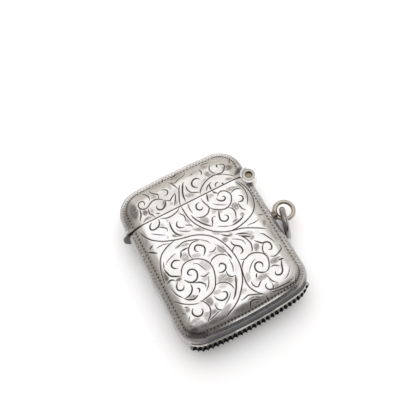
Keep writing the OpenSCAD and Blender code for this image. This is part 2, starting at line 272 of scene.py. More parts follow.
def border_tarnish_and_shade(stations, section, panel_count):
    """Tarnish and painted shade along the pricked border, with a rubbed line between its rows of dots."""
    inward = section[0]
    outer_fade = ease((inward - BORDER[0]) / BORDER_FADE[0])
    inner_fade = ease((BORDER[1] - inward) / BORDER_FADE[1])
    band = BORDER_TARNISH_AND_SHADE * outer_fade * inner_fade
    apart = inward[None, :] - along_border(stations, RUBBED_LINE)[:, None]
    share = np.interp(stations[0][:, 0], GROOVE_PLACES, GROOVE_SHARES)[:, None]
    tarnish_and_shade = band[None, :] * (1.0 - share * ease(RUBBED_EDGE - np.abs(apart) / RUBBED_WIDTH))
    crown = ease(np.abs(stations[1][:, 1]))
    tarnish_and_shade *= 1.0 - CROWN_CLEAN * crown[:, None] * ease(-apart / CROWN_FADE)
    return with_panel(tarnish_and_shade, panel_count)


def border_groove(stations, section, panel_count):
    """Depth of the fine line between the two rows of dots; one side of it catches the light."""
    apart = section[0][None, :] - along_border(stations, RUBBED_LINE)[:, None]
    into = np.clip(1.0 - np.maximum(apart / GROOVE_STEEP, -apart / GROOVE_WIDE), 0.0, 1.0)
    share = np.interp(stations[0][:, 0], GROOVE_PLACES, GROOVE_SHARES)
    return with_panel(GROOVE_DEPTH * share[:, None] * into, panel_count)


def edge_painted_shade(stations, section, panel_count, strength):
    """Painted shade on the walls, on the edge of the base and on the base's shoulder."""
    along = stations[0][:, 0]
    inward = section[0]
    crown = ease(np.abs(stations[1][:, 1]) * CROWN_STEEP - CROWN_START)
    edge = ease((EDGE_SHADE_REACH - inward) / EDGE_SHADE_FADE)
    shade_level = WALL_SHADE + (strength - WALL_SHADE) * crown * np.interp(along, EDGE_SHADE_PLACES, EDGE_SHADE_SHARES)
    shoulder = ease((inward - SHOULDER_SHADE[0]) / SHOULDER_FADE[0])
    shoulder *= ease((SHOULDER_SHADE[1] - inward) / SHOULDER_FADE[1])
    share = np.interp(along, SHOULDER_PLACES, SHOULDER_SHARES)
    darkened = np.maximum(shade_level[:, None] * edge, (share * (shade_level - WALL_SHADE))[:, None] * shoulder)
    return with_panel(darkened, panel_count)


def seam_painted_shade(places, mouth):
    """Painted shade in the open seam, wider and blacker towards the thumbpiece and the hinge."""
    width = np.interp(places[:, 0], SEAM_PLACES, SEAM_WIDTHS)
    return SEAM_SHADE * ease((width - (mouth - places[:, 1])) / SEAM_FADE + SEAM_SPREAD)


def prick_rows(places, stations, section, rows, depth_out, cut_out):
    """Pricks the border: two staggered rows of round dots that follow the outline along the shoulder."""
    points, normals = stations
    inward, height = section[:2]
    travel = travelled(points)
    for row, (reaches, radius) in enumerate(rows):
        row_reach = along_border(stations, reaches)
        for place in np.arange(DOT_PITCH * (0.5 + 0.5 * row), travel[-1], DOT_PITCH):
            spot = np.array([np.interp(place, travel, side) for side in points.T])
            normal = np.array([np.interp(place, travel, side) for side in normals.T])
            reach = np.interp(place, travel, row_reach)
            centre = np.append(spot + reach * normal, np.interp(reach, inward, height))
            near = np.nonzero((np.abs(places - centre) < 2 * radius).all(1))[0]
            into = 1.0 - np.linalg.norm(places[near] - centre, axis=1) / radius
            depth_out[near] = np.maximum(depth_out[near], DOT_DEPTH * ease(into * DOT_STEEP))
            cut_out[near] = np.maximum(cut_out[near], ease(into * DOT_STAIN + DOT_SPREAD))


def as_seen(places):
    """Where each point appears on the plane of the face from the photograph's viewpoint."""
    share = (EYE[2] - FACE_Z) / (EYE[2] - places[:, 2])
    return np.array(EYE[:2]) + (places[:, :2] - np.array(EYE[:2])) * share[:, None]


def store_mask(mesh, title, values):
    """Stores a mask on the points of a mesh, for its material."""
    layer = mesh.attributes.new(title, "FLOAT", "POINT")
    layer.data.foreach_set("value", values.astype(np.float32))


def new_piece(mesh):
    """Object of the mesh, under the mesh's own name."""
    piece = bpy.data.objects.new(mesh.name, mesh)
    bpy.context.scene.collection.objects.link(piece)
    return piece


def half_shell(name, corner, turn, crown_y, mouth_y, face, step, strokes, patches, shade_patches, base_shade):
    """One struck half of the body or lid, engraved; the notch for the hinge is cut afterwards."""
    way = 1.0 if crown_y < mouth_y else -1.0
    mouth = abs(mouth_y - crown_y)
    *stations, counts, depth = outline_stations(corner, turn, mouth, step)
    section = sheet_profile(step, corner)
    places, facings, numbers, panel = sheet_surface(stations, counts, depth, mouth, section, 0.0)
    coarse_stations = [side[::COARSE_EVERY] for side in stations]
    coarse_counts = (counts[0] // COARSE_EVERY + 1, counts[1] // COARSE_EVERY, counts[2] // COARSE_EVERY)
    coarse_section = [part[::COARSE_EVERY] for part in section]
    inner, _, inner_numbers, inner_panel = sheet_surface(coarse_stations, coarse_counts, depth, mouth,
                                                         coarse_section, SHEET)
    true_places = places * [1.0, way, face] + [0.0, crown_y, MIDDLE_Z]
    seen = as_seen(true_places) if face > 0 else true_places[:, :2]
    depth_cut = np.zeros(len(places))
    cut = np.zeros(len(places))
    # Tarnish and painted shade along the border, then matted ground, in one mask.
    ground = border_tarnish_and_shade(stations, section, panel.size)
    # Painted shade on the walls, edges and shoulders.
    film_and_painted_shade = edge_painted_shade(stations, section, panel.size, base_shade)
    soft_patches(seen, patches, ground)
    cut_strokes(seen, strokes, depth_cut, cut, ground)
    open_to_graver = ease((facings[:, 2] - GRAVER_FACING[0]) / (GRAVER_FACING[1] - GRAVER_FACING[0]))
    depth_cut = np.maximum(depth_cut * open_to_graver, border_groove(stations, section, panel.size))
    cut *= open_to_graver
    prick_rows(places, stations, section, DOT_ROWS, depth_cut, cut)
    # Patches of painted shade.
    soft_patches(seen, shade_patches, film_and_painted_shade)
    # Painted shade in the open seam, held in the same mask as the cut stain.
    cut = np.maximum(cut, seam_painted_shade(places, mouth))
    places = places - facings * depth_cut[:, None]
    first_inner = len(places)
    inner_numbers = inner_numbers + first_inner
    inner_panel = inner_panel + first_inner
    turned = way * face < 0
    faces = grid_faces(numbers, turned)
    faces += grid_faces(panel, turned)
    faces += grid_faces(inner_numbers, not turned)
    faces += grid_faces(inner_panel, not turned)
    faces += rim_faces(numbers[:, 0], inner_numbers[:, 0], not turned)
    mouth_fine = np.concatenate([numbers[0], panel[1:-1, -1], numbers[-1][::-1]])
    mouth_coarse = np.concatenate([inner_numbers[0], inner_panel[1:-1, -1], inner_numbers[-1][::-1]])
    faces += rim_faces(mouth_fine, mouth_coarse, turned)
    everything = np.concatenate([places, inner]) * [1.0, way, face] + [0.0, crown_y, MIDDLE_Z]
    used = np.unique(np.concatenate([np.array(part) for part in faces]))
    renumber = np.full(len(everything), -1)
    renumber[used] = np.arange(len(used))
    faces = [renumber[part].tolist() for part in faces]
    mesh = bpy.data.meshes.new(name)
    mesh.from_pydata(everything[used] * MM, [], faces)
    blank = np.zeros(len(inner))
    for title, values in (("cut", cut), ("ground", ground), ("film_and_painted_shade", film_and_painted_shade)):
        store_mask(mesh, title, np.concatenate([values, blank])[used])
    mesh.shade_smooth()
    return new_piece(mesh)


def cut_notch(piece):
    """Cuts the round notch for the hinge barrel through the side wall."""
    middle = (HINGE[0] * MM, HINGE[1] * MM, MIDDLE_Z * MM)
    bpy.ops.mesh.primitive_cylinder_add(vertices=NOTCH_SIDES, radius=NOTCH_RADIUS * MM,
                                        depth=NOTCH_LENGTH * MM, location=middle)
    cutter = bpy.context.object
    change = piece.modifiers.new("hinge notch", "BOOLEAN")
    change.operation = "DIFFERENCE"
    change.solver = "EXACT"
    change.object = cutter
    graph = bpy.context.evaluated_depsgraph_get()
    finished = bpy.data.meshes.new_from_object(piece.evaluated_get(graph))
    finished.name = piece.name
    piece.modifiers.clear()
    piece.data = finished
    bpy.data.objects.remove(cutter)


EYE = (-17.13, -42.13, 138.01)
GRAVER_FACING = (0.2, 0.4)
STROKE_STEP = 0.15
STEADY_SHARE = 0.05
STEADY_SPREAD = (0.2, 0.55)
STEADY_REACH = 3.0
STEADY_ROUNDS = 2
TAPER = 1.2
TAPER_PARTS = 3
TAPER_END = 0.35
CUT_DEPTH = 0.09
CUT_STEEP = 1.7
CUT_SPREAD = 0.25
PATCH_STEEP = 1.8
PATCH_SPREAD = 0.3
DOT_PITCH = 0.94
DOT_DEPTH = 0.06
DOT_STEEP = 1.3
DOT_STAIN = 1.5
DOT_SPREAD = 0.2
DOT_ROWS = (((1.15, 1.5), 0.21), ((2.1, 2.36), 0.29))
RUBBED_LINE = (1.62, 2.0)
RUBBED_WIDTH = 0.22
RUBBED_EDGE = 1.4
GROOVE_STEEP = 0.1
GROOVE_WIDE = 0.3
GROOVE_DEPTH = 0.17
GROOVE_PLACES = (-17.0, -10.0, -4.0, 8.0, 12.0, 17.0)
GROOVE_SHARES = (0.08, 0.12, 1.0, 1.0, 0.2, 0.08)
CROWN_CLEAN = 0.8
CROWN_FADE = 0.3
CROWN_STEEP = 2.2
CROWN_START = 0.9
# Tarnish and painted shade along the border.
BORDER = (0.4, 3.4)
BORDER_FADE = (0.5, 1.2)
BORDER_TARNISH_AND_SHADE = 0.62
# Painted shade on the walls.
WALL_SHADE = 0.52
BURR = 0.55
BURR_REACH = 1.6
# Painted shade on the edge of the base and on the base's shoulder.
EDGE_SHADE_REACH = 1.2
EDGE_SHADE_FADE = 0.6
EDGE_SHADE_PLACES = (-17.0, -15.0, -11.5, 15.0, 18.0)
EDGE_SHADE_SHARES = (0.0, 0.35, 1.0, 1.0, 0.5)
SHOULDER_SHADE = (2.3, 5.6)
SHOULDER_FADE = (0.3, 2.6)
SHOULDER_PLACES = (4.0, 9.0, 14.0)
SHOULDER_SHARES = (1.0, 0.5, 0.15)
# Painted shade in the open seam: its width along the seam, its strength and its softness.
SEAM_PLACES = (-18.0, -16.5, -13.0, -11.0, 9.5, 11.5, 14.0, 16.0)
SEAM_WIDTHS = (0.42, 0.32, 0.1, 0.06, 0.06, 0.08, 0.14, 0.24)
SEAM_SHADE = 0.97
SEAM_FADE = 0.12
SEAM_SPREAD = 0.3
FINE = 0.26
LINE = 0.34
BOLD = 0.45

# Each stroke of the graver has a width and points, in millimetres on the plane of the face.
lower_left_scrolls = [
    (BOLD, [(-8.4, -6.35), (-8.8, -6.2), (-9.15, -5.75), (-9.0, -5.2), (-8.5, -4.9), (-7.9, -4.92),
            (-7.35, -5.2), (-7.0, -5.75), (-6.95, -6.3), (-7.1, -6.9), (-7.4, -7.4), (-7.85, -7.85),
            (-8.4, -8.05), (-9.1, -8.0), (-9.7, -7.7), (-10.2, -7.1), (-10.6, -6.45)]),
    (LINE, [(-10.8, -5.4), (-10.4, -4.6), (-9.9, -3.8), (-9.2, -3.1), (-8.6, -2.8), (-7.8, -2.68),
            (-7.0, -2.7), (-6.2, -2.85), (-5.4, -3.2), (-4.6, -3.65), (-4.0, -4.2), (-3.5, -4.8),
            (-3.2, -5.4), (-3.0, -6.0), (-2.95, -6.7), (-2.95, -7.4), (-3.2, -8.55), (-3.7, -9.9),
            (-4.3, -11.05), (-4.9, -11.8), (-5.9, -12.5), (-7.0, -12.85), (-8.0, -13.05), (-8.8, -13.2),
            (-9.6, -13.4)]),
    (FINE, [(-6.8, -3.95), (-6.2, -4.1), (-5.7, -4.6), (-5.3, -5.4), (-5.0, -6.2), (-4.75, -7.0)]),
    (LINE, [(-6.6, -7.5), (-6.1, -7.95), (-5.5, -8.08), (-4.8, -7.9), (-4.2, -7.7)]),
    (FINE, [(-4.9, -8.5), (-5.4, -9.7), (-6.1, -10.7), (-7.1, -11.6)]),
    (BOLD, [(-8.9, -8.3), (-7.6, -8.8), (-6.9, -9.4), (-6.5, -10.0), (-6.65, -10.6)]),
    (BOLD, [(-8.8, -9.85), (-8.4, -10.1), (-8.4, -10.6), (-8.8, -11.05)]),
    (BOLD, [(-9.7, -8.1), (-9.8, -9.3), (-10.3, -10.0), (-11.1, -10.55), (-12.6, -10.8)]),
    (BOLD, [(-12.6, -10.8), (-11.9, -11.4), (-10.7, -11.9), (-9.7, -11.65), (-9.3, -11.45)]),
    (BOLD, [(-12.3, -6.3), (-12.8, -6.8), (-13.1, -7.4), (-13.1, -8.0), (-12.6, -8.45), (-12.0, -8.55),
            (-11.5, -8.2), (-11.3, -7.75)]),
    (FINE, [(-14.5, -7.1), (-13.9, -9.0), (-13.05, -10.1), (-12.6, -10.7)]),
    (FINE, [(-15.5, -10.1), (-14.95, -10.45), (-14.2, -11.2), (-13.4, -11.8), (-12.3, -12.5),
            (-11.1, -13.05), (-10.2, -13.3), (-9.6, -13.4)]),
    (BOLD, [(-11.85, -13.8), (-12.45, -14.4), (-12.5, -15.1), (-12.1, -15.8), (-11.1, -16.2),
            (-10.3, -15.8), (-9.95, -15.2), (-10.25, -14.85)]),
    (LINE, [(-9.5, -12.95), (-8.9, -13.5), (-8.4, -14.4), (-8.2, -15.3), (-8.4, -16.3), (-8.9, -17.1),
            (-9.5, -17.7), (-10.2, -18.25)]),
    (FINE, [(-10.2, -18.25), (-9.1, -18.1), (-8.05, -17.8), (-7.1, -17.5), (-6.0, -17.35)]),
    (LINE, [(-6.8, -15.45), (-6.85, -16.3), (-6.55, -17.0), (-5.9, -17.35)]),
    (FINE, [(-14.9, -13.7), (-14.2, -14.2)]),
    (FINE, [(-13.6, -12.6), (-12.9, -13.0)]),
    (FINE, [(-13.5, -15.1), (-14.3, -16.0)]),
    (FINE, [(-14.8, -17.4), (-13.9, -17.7)]),
]
large_ring_scrolls = [
    (LINE, [(-15.2, -5.2), (-15.05, -3.8), (-14.8, -2.4), (-14.45, -1.1), (-13.95, 0.15), (-13.3, 1.2),
            (-12.5, 2.05), (-11.5, 2.7), (-10.3, 3.25), (-9.1, 3.6), (-8.0, 3.8)]),
    (LINE, [(-15.15, 10.3), (-14.85, 9.35), (-14.4, 8.3), (-13.8, 7.35), (-13.0, 6.5), (-12.2, 5.9),
            (-11.1, 5.15), (-10.1, 4.65), (-9.0, 4.25), (-8.0, 3.88), (-7.0, 3.58), (-6.0, 3.35),
            (-5.0, 3.12), (-4.0, 2.95), (-3.0, 2.6), (-2.0, 2.2), (-1.0, 1.6), (0.0, 0.9), (0.8, 0.1),
            (1.5, -0.8), (2.0, -1.7), (2.4, -2.6), (2.8, -3.7), (3.1, -4.8), (3.3, -5.9), (3.42, -7.0),
            (3.45, -8.2), (3.35, -9.4), (3.1, -10.65), (2.7, -11.8), (2.2, -12.9), (1.55, -14.0),
            (0.6, -15.2), (-0.6, -16.5), (-1.9, -17.5), (-3.3, -18.3), (-4.8, -18.95), (-5.9, -19.5)]),
    (LINE, [(-8.9, 1.7), (-8.3, 1.85), (-7.5, 2.05), (-6.6, 2.3), (-5.5, 2.2), (-4.5, 1.87), (-3.5, 1.5),
            (-2.8, 1.2), (-2.2, 0.8)]),
    (FINE, [(-2.2, 0.8), (-1.5, 0.2), (-1.0, -0.3), (-0.7, -0.8), (-0.55, -1.2)]),
    (FINE, [(0.3, -1.9), (0.8, -2.5), (1.2, -3.4), (1.6, -4.2), (1.9, -5.0), (2.1, -5.9)]),
    (BOLD, [(2.0, -5.4), (2.15, -6.2), (2.25, -6.8), (2.3, -7.4)]),
    (LINE, [(-6.3, -2.6), (-6.5, -1.9), (-6.5, -1.2), (-6.3, -0.5), (-6.0, 0.1), (-5.6, 0.5),
            (-5.0, 0.95), (-4.3, 1.15), (-3.5, 1.1), (-2.7, 0.85)]),
    (BOLD, [(-3.5, -3.3), (-3.0, -2.8), (-2.5, -2.2), (-2.3, -1.5), (-2.5, -0.9), (-3.2, -0.3),
            (-3.9, 0.02), (-4.5, -0.35), (-4.72, -0.95), (-4.55, -1.45), (-4.15, -1.7)]),
    (LINE, [(-2.0, -3.05), (-1.4, -3.3), (-0.7, -3.35), (-0.1, -3.1), (0.2, -2.6)]),
    (BOLD, [(-8.0, 0.45), (-8.3, -0.25), (-8.6, -0.75), (-8.9, -1.0)]),
    (BOLD, [(-8.0, 0.4), (-7.3, 0.45), (-6.5, 0.5), (-5.9, 0.45)]),
    (BOLD, [(-9.2, -1.65), (-9.8, -1.25), (-10.4, -1.0), (-11.0, -1.05), (-11.6, -1.5), (-11.8, -2.1),
            (-11.5, -2.65), (-11.0, -3.0), (-10.6, -3.1)]),
    (FINE, [(-12.8, -0.9), (-12.3, -0.4), (-11.6, -0.05), (-10.9, 0.2), (-10.2, 0.45), (-9.4, 0.55)]),
    (FINE, [(-13.05, 0.0), (-13.5, -0.9), (-13.8, -1.8)]),
    (BOLD, [(-13.8, -1.8), (-13.6, -2.7), (-13.15, -4.0), (-12.0, -4.75), (-10.8, -5.35)]),
    (BOLD, [(-14.8, -5.6), (-14.2, -5.2), (-13.6, -5.05), (-13.1, -5.2), (-12.6, -5.6)]),
    (BOLD, [(-15.6, 4.2), (-14.8, 3.7), (-14.2, 3.3), (-13.4, 2.8)]),
    (BOLD, [(-14.8, 4.5), (-14.3, 4.9), (-13.6, 5.25)]),
    (FINE, [(-13.2, 4.0), (-12.5, 4.15), (-11.8, 4.2), (-11.2, 4.2), (-10.5, 4.0), (-9.8, 3.75)]),
]
lower_middle_scrolls = [
    (BOLD, [(-1.55, -7.7), (-1.2, -7.3), (-0.75, -7.1), (-0.2, -7.45), (0.1, -8.1), (-0.3, -8.9),
            (-1.3, -9.25), (-2.2, -8.95)]),
    (LINE, [(-3.0, -6.0), (-2.5, -5.4), (-1.8, -5.0), (-1.0, -4.8), (-0.2, -4.8), (0.6, -5.1),
            (1.3, -5.6), (1.75, -6.3)]),
    (FINE, [(1.7, -7.1), (1.65, -8.2), (1.5, -9.25), (1.15, -10.1), (0.9, -10.6)]),
    (LINE, [(-0.5, -9.4), (-0.55, -10.3), (-0.25, -11.05), (0.45, -11.45), (1.05, -11.5)]),
    (BOLD, [(1.05, -11.5), (0.7, -12.25), (0.2, -13.3), (-0.4, -14.4), (-1.0, -15.2), (-1.6, -15.9),
            (-2.3, -16.5)]),
    (LINE, [(-4.4, -11.25), (-3.2, -11.3), (-2.3, -11.65), (-1.45, -12.35), (-1.0, -13.3),
            (-0.85, -14.4)]),
    (BOLD, [(-6.0, -13.7), (-5.8, -14.4), (-5.15, -15.2), (-4.3, -15.5), (-3.35, -15.2), (-2.9, -14.5),
            (-3.1, -13.85), (-3.85, -13.65)]),
    (FINE, [(-2.15, -14.6), (-2.5, -15.2), (-3.5, -16.0), (-4.3, -16.5), (-5.0, -16.9)]),
    (LINE, [(4.9, -9.0), (4.2, -9.6), (3.3, -10.7)]),
    (FINE, [(0.35, -15.55), (0.8, -15.3)]),
    (LINE, [(-0.85, -17.6), (0.35, -17.5), (1.4, -17.3), (2.1, -17.6), (3.2, -18.05), (4.25, -18.55),
            (5.0, -19.0)]),
    (LINE, [(3.3, -10.7), (2.95, -11.8), (2.65, -13.0), (2.5, -14.2), (2.5, -15.2), (2.75, -16.2),
            (3.3, -17.2), (3.9, -18.0), (4.5, -18.5)]),
    (LINE, [(6.6, -18.8), (7.8, -19.0), (9.4, -19.15), (11.2, -19.2), (12.6, -19.0)]),
    (LINE, [(3.7, -14.6), (3.55, -15.3), (3.9, -16.2), (4.5, -16.6), (5.25, -16.05), (6.25, -15.45)]),
    (BOLD, [(5.8, -13.55), (5.2, -14.45)]),
    (BOLD, [(0.2, -20.5), (1.0, -19.1), (2.2, -19.0), (3.0, -19.5)]),
    (BOLD, [(5.0, -19.6), (4.9, -20.9)]),
]
lower_right_scrolls = [
    (LINE, [(4.0, -8.4), (4.95, -9.0), (5.9, -8.7), (6.85, -8.5), (7.8, -8.6), (8.9, -9.15), (9.7, -9.75),
            (10.1, -10.45), (10.3, -11.2), (10.05, -12.1), (9.7, -12.95), (9.1, -13.8), (8.3, -14.25),
            (7.6, -14.15)]),
    (BOLD, [(8.3, -14.25), (7.6, -14.15), (6.6, -13.65), (6.15, -12.95), (6.15, -12.1), (6.6, -11.4),
            (7.45, -11.15), (8.15, -11.65), (8.35, -12.25), (7.9, -12.8)]),
    (FINE, [(7.45, -10.15), (6.5, -10.45), (5.4, -11.3), (4.7, -12.0), (4.35, -12.6)]),
    (LINE, [(6.85, -16.9), (6.25, -17.1), (6.1, -17.8), (6.5, -18.5), (7.3, -18.8), (7.8, -18.3),
            (7.9, -17.4)]),
    (LINE, [(7.8, -15.2), (7.9, -15.9), (8.2, -16.8), (8.75, -17.6), (9.2, -17.95)]),
    (BOLD, [(13.05, -13.3), (12.6, -14.0), (12.2, -14.85), (11.85, -15.8), (11.25, -16.4), (10.65, -16.5),
            (9.95, -16.15), (9.85, -15.55), (10.2, -15.3)]),
    (BOLD, [(12.2, -13.2), (13.0, -13.2), (13.65, -13.4)]),
    (LINE, [(9.6, -13.65), (10.65, -13.8), (11.4, -14.25), (11.85, -14.6)]),
    (BOLD, [(9.6, -5.8), (10.0, -6.4), (10.5, -6.9), (11.0, -7.45), (11.75, -7.5), (12.55, -8.05),
            (12.7, -8.9), (12.3, -9.75), (11.75, -9.85), (11.45, -9.55)]),
    (LINE, [(11.4, -7.6), (10.7, -8.05), (10.2, -8.8), (10.05, -9.7), (10.25, -10.5)]),
    (LINE, [(14.5, -9.75), (14.5, -10.8), (13.5, -11.4), (12.55, -11.75), (11.75, -11.75),
            (11.0, -11.3)]),
    (LINE, [(11.7, -4.9), (12.2, -5.2), (12.6, -5.7), (12.9, -6.3), (13.2, -6.9), (13.5, -7.6),
            (13.9, -8.55)]),
    (FINE, [(14.0, -15.8), (13.05, -16.9), (12.2, -17.6), (11.25, -18.05)]),
    (FINE, [(6.3, -19.15), (7.6, -19.6), (9.25, -19.85), (11.3, -19.95), (13.0, -19.7), (14.2, -18.2)]),
    (LINE, [(8.3, -7.1), (7.6, -8.1)]),
    (BOLD, [(4.3, -3.2), (4.2, -3.8), (4.4, -4.3), (4.75, -4.75), (5.3, -5.1), (5.7, -5.6), (5.85, -6.2),
            (5.7, -6.8), (5.3, -7.15), (4.8, -7.2)]),
    (LINE, [(3.3, -5.9), (3.6, -5.35), (4.1, -5.05), (4.7, -4.8)]),
    (FINE, [(4.8, -2.8), (5.5, -3.2), (6.2, -3.7), (6.8, -4.2), (7.1, -4.7), (7.2, -5.2), (7.2, -5.9)]),
    (LINE, [(6.8, -2.8), (7.4, -3.4), (7.9, -4.2), (8.2, -5.0), (8.35, -5.7), (8.4, -6.3), (8.2, -7.0),
            (7.9, -7.6), (7.6, -8.0)]),
    (BOLD, [(6.2, -2.1), (7.0, -2.4), (7.8, -2.7), (8.6, -3.1), (9.2, -3.5)]),
    (BOLD, [(7.2, -3.1), (7.9, -3.6), (8.6, -4.1), (9.3, -4.6)]),
    (BOLD, [(2.9, -0.4), (3.5, -0.9), (4.1, -1.4), (4.8, -1.8), (5.3, -1.7)]),
    (FINE, [(10.0, -1.5), (10.7, -1.5), (11.5, -1.6), (12.2, -1.6), (13.0, -1.5), (13.6, -1.3)]),
    (LINE, [(13.9, -0.2), (14.5, -0.6), (15.0, -0.85)]),
]
upper_left_scrolls = [
    (BOLD, [(-11.1, 10.85), (-11.5, 10.75), (-11.9, 10.3), (-12.2, 9.7), (-12.1, 9.3), (-11.7, 8.95),
            (-11.1, 8.9), (-10.5, 9.0), (-10.0, 9.2), (-9.6, 9.6), (-9.3, 10.1), (-9.15, 10.9)]),
    (LINE, [(-10.2, 9.05), (-9.6, 8.65), (-9.0, 8.2), (-8.5, 7.8), (-8.45, 7.3), (-8.6, 6.9)]),
    (BOLD, [(-7.0, 9.0), (-7.2, 8.2), (-7.3, 7.4), (-7.3, 6.7), (-7.15, 5.8), (-6.65, 4.85),
            (-5.8, 4.05)]),
    (FINE, [(-12.5, 8.5), (-12.3, 8.05), (-11.6, 7.6), (-10.8, 7.0), (-10.0, 6.5), (-9.4, 6.2)]),
    (BOLD, [(-5.1, 8.2), (-5.5, 7.8), (-5.8, 7.2), (-5.7, 6.6), (-5.3, 6.2), (-4.8, 5.95), (-4.3, 5.9)]),
    (LINE, [(-8.6, 10.9), (-7.8, 10.5), (-7.0, 10.2), (-6.0, 10.12), (-5.2, 10.25), (-4.4, 10.45),
            (-3.6, 10.8), (-3.0, 11.3)]),
    (LINE, [(-3.8, 10.2), (-3.5, 9.5), (-3.1, 9.0), (-2.9, 8.4), (-3.0, 7.8), (-3.3, 7.2)]),
    (LINE, [(-3.9, 6.3), (-3.3, 5.9), (-2.7, 5.6), (-2.4, 5.3), (-2.5, 4.8)]),
    (FINE, [(-6.3, 6.1), (-5.9, 5.6), (-5.3, 5.1), (-4.6, 4.7), (-3.8, 4.3), (-3.1, 4.1)]),
]
upper_right_scrolls = [
    (LINE, [(-2.45, 11.4), (-2.4, 9.8), (-2.3, 8.35), (-2.0, 6.9), (-1.6, 5.7), (-1.0, 4.55),
            (-0.25, 3.4), (0.75, 2.2), (1.8, 1.2), (2.95, 0.4), (4.3, -0.3), (5.6, -0.75), (6.95, -0.85),
            (8.4, -0.7), (9.85, -0.35), (11.3, 0.1), (12.6, 0.7), (13.55, 1.4), (14.2, 2.3), (14.75, 3.3),
            (15.05, 4.4), (15.2, 5.6), (15.15, 6.9), (14.9, 8.3), (14.45, 9.5), (13.9, 10.6)]),
    (LINE, [(4.6, -0.4), (5.4, -0.65), (6.1, -0.9), (6.9, -1.1), (7.7, -1.3), (8.5, -1.52), (9.3, -1.83),
            (10.0, -2.2), (11.0, -2.75), (12.0, -3.35), (13.0, -4.0), (13.8, -4.5)]),
    (FINE, [(-0.55, 11.3), (-0.75, 10.3), (-0.8, 9.2), (-0.7, 8.2)]),
    (BOLD, [(-1.3, 7.9), (-1.05, 7.0), (-0.75, 6.2), (-0.3, 5.4), (0.15, 4.65), (0.65, 4.0), (1.2, 3.4),
            (1.7, 2.95), (2.15, 2.6)]),
    (LINE, [(2.15, 2.6), (2.6, 3.4), (2.9, 4.2), (3.2, 4.6), (3.7, 4.75), (4.1, 4.5)]),
    (BOLD, [(2.2, 10.05), (1.6, 10.05), (1.1, 9.7), (0.85, 9.0), (1.0, 8.4), (1.5, 8.05), (2.0, 8.05),
            (2.4, 8.5)]),
    (LINE, [(3.2, 10.9), (3.15, 10.2), (3.3, 9.4), (3.55, 8.6), (3.8, 7.9), (3.75, 7.35), (3.3, 6.85),
            (2.9, 6.4), (2.3, 6.1), (1.6, 6.02), (0.9, 6.1), (0.2, 6.35), (-0.4, 6.8)]),
    (LINE, [(3.85, 7.5), (4.1, 7.1), (4.6, 6.6), (5.3, 6.1), (6.1, 5.65), (6.8, 5.35), (7.5, 5.25),
            (8.2, 5.4), (8.9, 5.7), (9.5, 6.1), (9.9, 6.7), (10.2, 7.3), (10.5, 7.9), (10.5, 8.5),
            (10.2, 9.0), (9.8, 9.6), (9.3, 10.0), (8.6, 10.15), (8.0, 10.05), (7.5, 9.8), (7.2, 9.2)]),
    (BOLD, [(5.0, 11.4), (4.95, 10.9), (4.7, 10.2), (4.5, 9.6), (4.4, 9.2)]),
    (FINE, [(5.1, 8.2), (5.4, 7.8), (6.0, 7.3), (6.8, 6.8), (7.5, 6.4), (8.2, 6.1)]),
    (BOLD, [(6.7, 9.0), (6.75, 8.5), (7.1, 8.0), (7.7, 7.6), (8.2, 7.52), (8.7, 7.8), (8.8, 8.3),
            (8.5, 8.7), (8.2, 8.7)]),
    (BOLD, [(6.8, 11.4), (6.9, 10.8), (7.3, 10.4), (7.65, 10.05)]),
    (BOLD, [(5.6, 5.7), (5.3, 5.0), (5.0, 4.3), (4.8, 3.6), (4.8, 3.0), (5.2, 2.5), (5.8, 2.2),
            (6.4, 2.3), (6.8, 2.7), (6.95, 3.2), (6.7, 3.6), (6.35, 3.7)]),
    (LINE, [(8.1, 5.2), (8.7, 4.75), (9.05, 4.1), (9.1, 3.2), (8.9, 2.6), (8.7, 2.1), (8.4, 1.5)]),
    (BOLD, [(12.2, 6.8), (12.6, 6.6), (12.85, 6.2), (12.8, 5.6), (12.4, 5.2), (11.8, 5.15),
            (11.2, 5.35)]),
    (LINE, [(11.0, 5.1), (11.0, 4.2), (11.1, 3.4), (11.4, 2.9), (11.8, 2.4)]),
    (LINE, [(10.6, 8.5), (11.3, 8.7), (12.0, 8.9), (12.8, 8.8), (13.4, 8.4), (13.9, 8.0)]),
    (LINE, [(13.2, 10.8), (13.9, 9.6), (14.2, 8.6), (14.35, 7.4), (14.2, 6.2), (13.9, 5.2), (13.4, 4.3),
            (12.9, 3.6)]),
    (FINE, [(3.1, 2.0), (3.8, 1.6), (4.6, 1.2), (5.3, 0.85), (6.3, 0.5)]),
    (BOLD, [(6.3, 0.45), (7.2, 0.4), (8.1, 0.47), (9.0, 0.68), (9.9, 1.0), (10.6, 1.5)]),
]
body_strokes = (lower_left_scrolls + large_ring_scrolls + lower_middle_scrolls + lower_right_scrolls
                + upper_left_scrolls + upper_right_scrolls)
